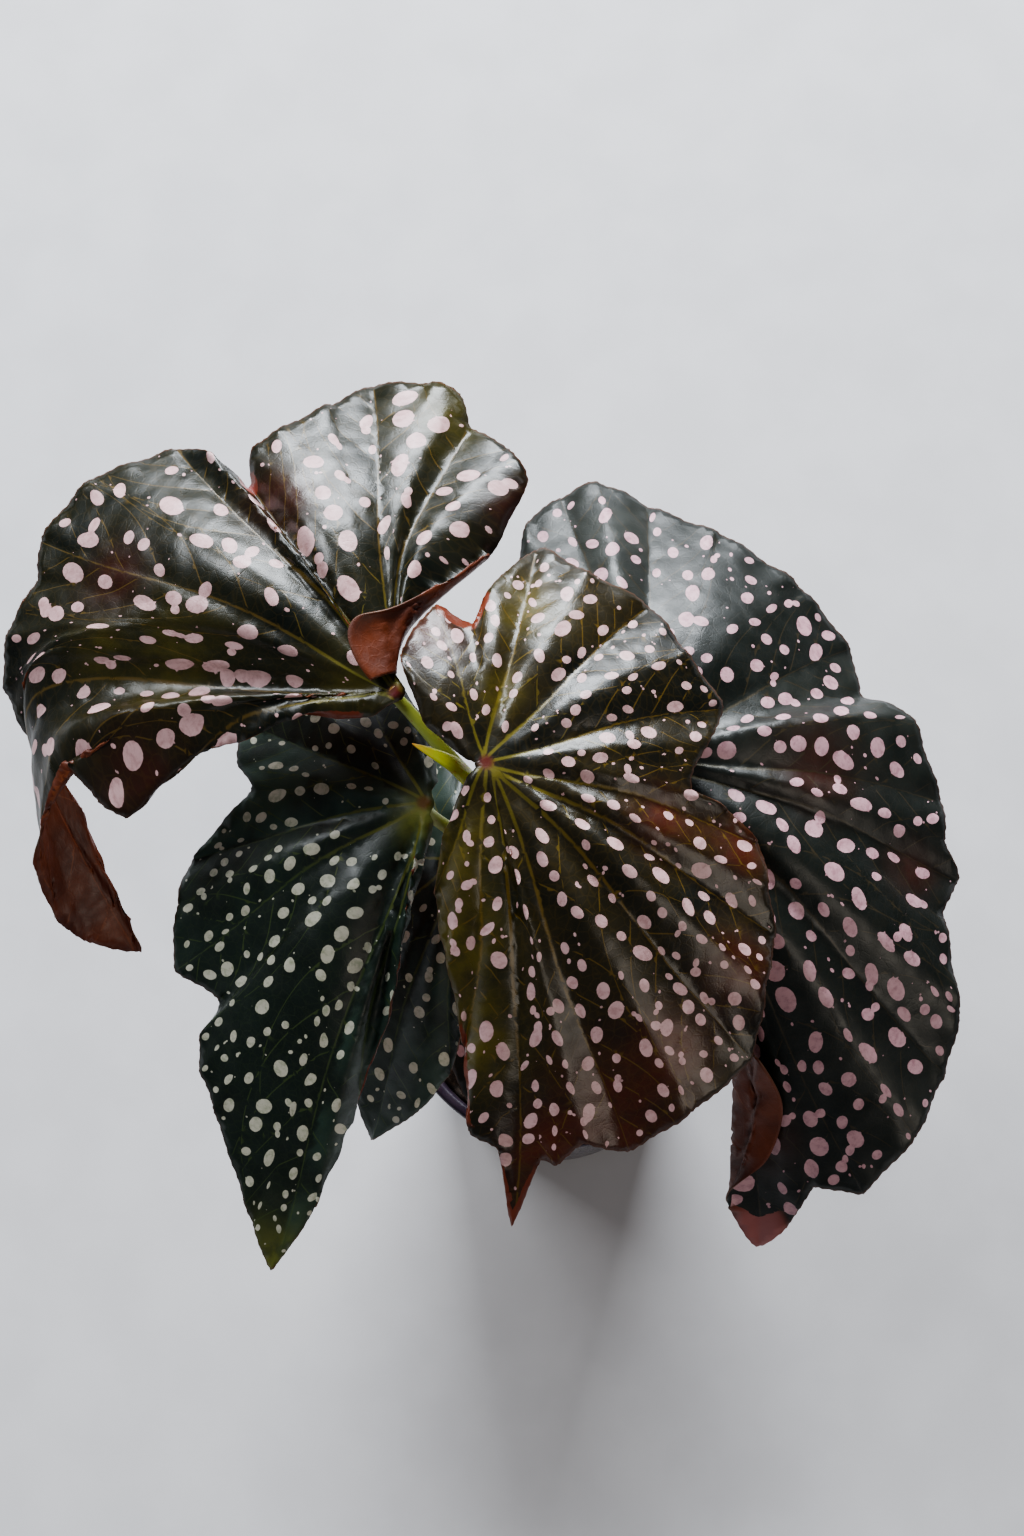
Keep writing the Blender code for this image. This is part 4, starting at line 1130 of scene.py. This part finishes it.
SOIL_SEED = 7
SOIL_TOP = 97
SOIL_BUMP = 1.6
SOIL_GAP = 0.4
SOIL_FOOT = (38, 10)
SOIL_RINGS = 60
SOIL_STEPS = 160
SOIL_ROUGHNESS = 0.28
SOIL_EDGE_DROP = 1.2
CRUMBS = 420
CRUMB_SIZES = (0.5, 1.7)
CRUMB_SQUASH = (0.6, 1.2)
CRUMB_ROUGHNESS = 0.12
CRUMB_RISE = 0.2
CRUMB_EDGE_GAP = 2


def wall_radius(height):
    """The radius of the pot's outside at this height."""
    return BASE_RADIUS + (RIM_RADIUS - BASE_RADIUS) * height / POT_HEIGHT


def round_corner(centre_r, centre_z, radius, start, end):
    """(radius, height) along an arc about a centre, from one angle in degrees to another."""
    corner = [polar(angle, radius) for angle in np.linspace(start, end, CORNER_ROWS)]
    return [(centre_r + across_it, centre_z + up) for across_it, up in corner]


def make_pot(material):
    """The pot, turned from one path: out along the base, up the outside, over the rim and down the inside."""
    rim_z = POT_HEIGHT - RIM_ROUND
    path = [(r, 0) for r in FLOOR_RINGS]
    path += round_corner(BASE_RADIUS - BASE_ROUND, BASE_ROUND, BASE_ROUND, -90, -8)
    path += [(wall_radius(z), z) for z in np.linspace(BASE_ROUND + 1, rim_z - 3, OUTSIDE_ROWS)]
    path += round_corner(RIM_RADIUS - RIM_ROUND, rim_z, RIM_ROUND, 0, 90)
    path += round_corner(RIM_RADIUS - WALL + RIM_ROUND, rim_z, RIM_ROUND, 90, 180)
    path += [(wall_radius(z) - WALL, z) for z in np.linspace(rim_z - 2, FLOOR_THICKNESS, INSIDE_ROWS)]
    path += [(r, FLOOR_THICKNESS) for r in reversed(FLOOR_RINGS)]
    points = [(*polar(360 * step / POT_STEPS, r), z) for r, z in path for step in range(POT_STEPS)]
    faces = ring_faces(points, POT_STEPS)
    last = len(points)
    for step in range(POT_STEPS):
        beside = (step + 1) % POT_STEPS
        faces.append((last, beside, step))
        faces.append((last + 1, last - POT_STEPS + step, last - POT_STEPS + beside))
    points += [(0, 0, 0), (0, 0, FLOOR_THICKNESS)]
    mesh = mesh_from("pot_wall", points, faces)
    smooth_outside(mesh)
    add_piece("pot_wall", mesh, [material], ("pot",))


def soil_height(x, y):
    """The soil's level, with its low waves."""
    wave = math.sin(0.31 * x + 0.7) * math.cos(0.27 * y - 0.4) + 0.6 * math.sin(0.53 * y - 0.38 * x + 2)
    return SOIL_TOP + SOIL_BUMP * wave


def make_soil(material):
    """The soil's crumbled surface down to the pot's wall, with loose crumbs lying in it."""
    rng = np.random.default_rng(SOIL_SEED)
    edge = wall_radius(SOIL_TOP) - WALL - SOIL_GAP
    bearings = [360 * step / SOIL_STEPS for step in range(SOIL_STEPS)]
    points = []
    for ring in range(1, SOIL_RINGS + 1):
        drop = SOIL_EDGE_DROP if ring == SOIL_RINGS else 0
        for bearing in bearings:
            x, y = polar(bearing, edge * ring / SOIL_RINGS)
            points.append((x, y, soil_height(x, y) + rng.normal(0, SOIL_ROUGHNESS) - drop))
    points += [(*polar(bearing, SOIL_FOOT[0]), SOIL_FOOT[1]) for bearing in bearings]
    last = len(points)
    faces = ring_faces(points, SOIL_STEPS)
    faces += [(last, step, (step + 1) % SOIL_STEPS) for step in range(SOIL_STEPS)]
    faces.append(tuple(reversed(range(last - SOIL_STEPS, last))))
    mesh = mesh_from("soil_crumbs", [*points, (0, 0, soil_height(0, 0))], faces)
    bm = bmesh.new()
    bm.from_mesh(mesh)
    for _ in range(CRUMBS):
        angle, radius = rng.uniform(0, 360), (edge - CRUMB_EDGE_GAP) * math.sqrt(rng.uniform(0, 1))
        x, y = polar(angle, radius)
        size = rng.uniform(*CRUMB_SIZES)
        turn = Matrix.Rotation(rng.uniform(0, math.tau), 4, rng.normal(size=3).tolist())
        squash = Matrix.Diagonal((*(size * rng.uniform(*CRUMB_SQUASH, 3)), 1))
        shape = Matrix.Translation((x, y, soil_height(x, y) + CRUMB_RISE)) @ turn @ squash
        made = bmesh.ops.create_icosphere(bm, subdivisions=1, radius=1, matrix=Matrix.Scale(MM, 4) @ shape)
        for vert in made["verts"]:
            vert.co += Vector(rng.normal(0, CRUMB_ROUGHNESS * size, 3)) * MM
    bm.to_mesh(mesh)
    bm.free()
    smooth_outside(mesh)
    add_piece("soil_crumbs", mesh, [material], ("soil",))


# Floor, light and camera

FLOOR_SIDE = 8000
SKY, SKY_STRENGTH = (0.8, 0.87, 1), 0.13
# Lights: the place, the target, the width and height, the power in watts and the colour
LIGHTS = {
    "window": ((60, 1250, 930), (0, 0, 250), (900, 560), 40, (0.9, 0.95, 1)),
    "side": ((-850, 650, 1350), (0, 0, 250), (620, 380), 15, (0.92, 0.96, 1)),
    "fill": ((850, -900, 1050), (0, 0, 200), (800, 800), 5, (1, 0.9, 0.78)),
}
CAMERA_TARGET = (-16, 14, 300)
CAMERA_ELEVATION = 72
CAMERA_DISTANCE = 749
LENS = 65
SENSOR = 36


def aim(obj, spot, target):
    """Puts the object at a spot and turns it towards the target."""
    obj.location = Vector(spot) * MM
    obj.rotation_euler = (Vector(target) * MM - obj.location).to_track_quat("-Z", "Y").to_euler()


def make_stage():
    half = FLOOR_SIDE / 2
    corners = [(-half, -half, 0), (half, -half, 0), (half, half, 0), (-half, half, 0)]
    floor = mesh_from("floor", corners, [(0, 1, 2, 3)])
    w = Wire("floor")
    grain = w.ramp(w.noise(w.object_place(), 30, 4), 0.3, 0.7)
    w.put(w.shader["Base Color"], w.mix(grain, (0.6, 0.59, 0.6), (0.64, 0.63, 0.64)))
    w.shader["Roughness"].default_value = 0.9
    floor.materials.append(w.material)
    new_object("floor", floor)
    world = bpy.data.worlds.new("studio")
    world.use_nodes = True
    sky = world.node_tree.nodes["Background"].inputs
    sky["Color"].default_value = (*SKY, 1)
    sky["Strength"].default_value = SKY_STRENGTH
    bpy.context.scene.world = world
    for name, (spot, target, size, power, colour) in LIGHTS.items():
        light = bpy.data.lights.new(name, "AREA")
        light.shape = "RECTANGLE"
        light.size, light.size_y = (side * MM for side in size)
        light.energy = power
        light.color = colour
        aim(new_object(name, light), spot, target)
    bpy.context.scene.view_settings.look = "AgX - Medium High Contrast"


def make_camera():
    camera = bpy.data.cameras.new("camera")
    camera.lens = LENS
    camera.sensor_fit = "VERTICAL"
    camera.sensor_height = SENSOR
    back, up = polar(CAMERA_ELEVATION, CAMERA_DISTANCE)
    obj = new_object("camera", camera)
    aim(obj, Vector(CAMERA_TARGET) + Vector((0, -back, up)), CAMERA_TARGET)
    bpy.context.scene.camera = obj


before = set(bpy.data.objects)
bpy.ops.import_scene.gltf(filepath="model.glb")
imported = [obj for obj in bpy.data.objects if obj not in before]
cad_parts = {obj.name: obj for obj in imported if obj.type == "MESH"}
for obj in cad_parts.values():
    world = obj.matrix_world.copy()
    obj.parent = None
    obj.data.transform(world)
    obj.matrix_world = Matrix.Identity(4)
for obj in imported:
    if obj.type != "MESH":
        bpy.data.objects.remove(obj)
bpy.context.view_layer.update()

make_camera()
make_stage()

red, deep_red, vein_red = (0.165, 0.036, 0.01), (0.09, 0.019, 0.007), (0.24, 0.065, 0.02)
underside = underside_material("leaf_underside", red, deep_red, vein_red)
rim_finish = underside_material("leaf_rim", (0.16, 0.07, 0.035), (0.1, 0.04, 0.02), (0.16, 0.07, 0.04))
green_top = top_material("leaf_top", GREEN_TOP)
bronze_top = top_material("leaf_top_bronze", BRONZE_TOP)
rose_top_painted_sheen = top_material("leaf_top_rose_painted_sheen", ROSE_TOP_PAINTED_SHEEN)
white_top_painted_sheen = top_material("leaf_top_white_painted_sheen", WHITE_TOP_PAINTED_SHEEN)
TOPS = {"leaf_upper_left": green_top, "leaf_centre": bronze_top, "leaf_right": rose_top_painted_sheen,
        "leaf_lower_left": white_top_painted_sheen, "leaf_low": white_top_painted_sheen, "leaf_front": rose_top_painted_sheen}
for name, blade in BLADES.items():
    make_blade(name, blade, [TOPS[name], underside, rim_finish])

stalk_finish = stalk_material("stalk_green", (0.34, 0.4, 0.07), (0.14, 0.12, 0.05), (0.3, 0.05, 0.03))
sheath_finish = stalk_material("sheath_green", (0.6, 0.68, 0.05), (0.4, 0.45, 0.06), (0.65, 0.3, 0.05))
make_stem(stalk_finish)
make_stalks(stalk_finish)
make_sheaths(sheath_finish)
make_pot(pot_material())
make_soil(soil_material())
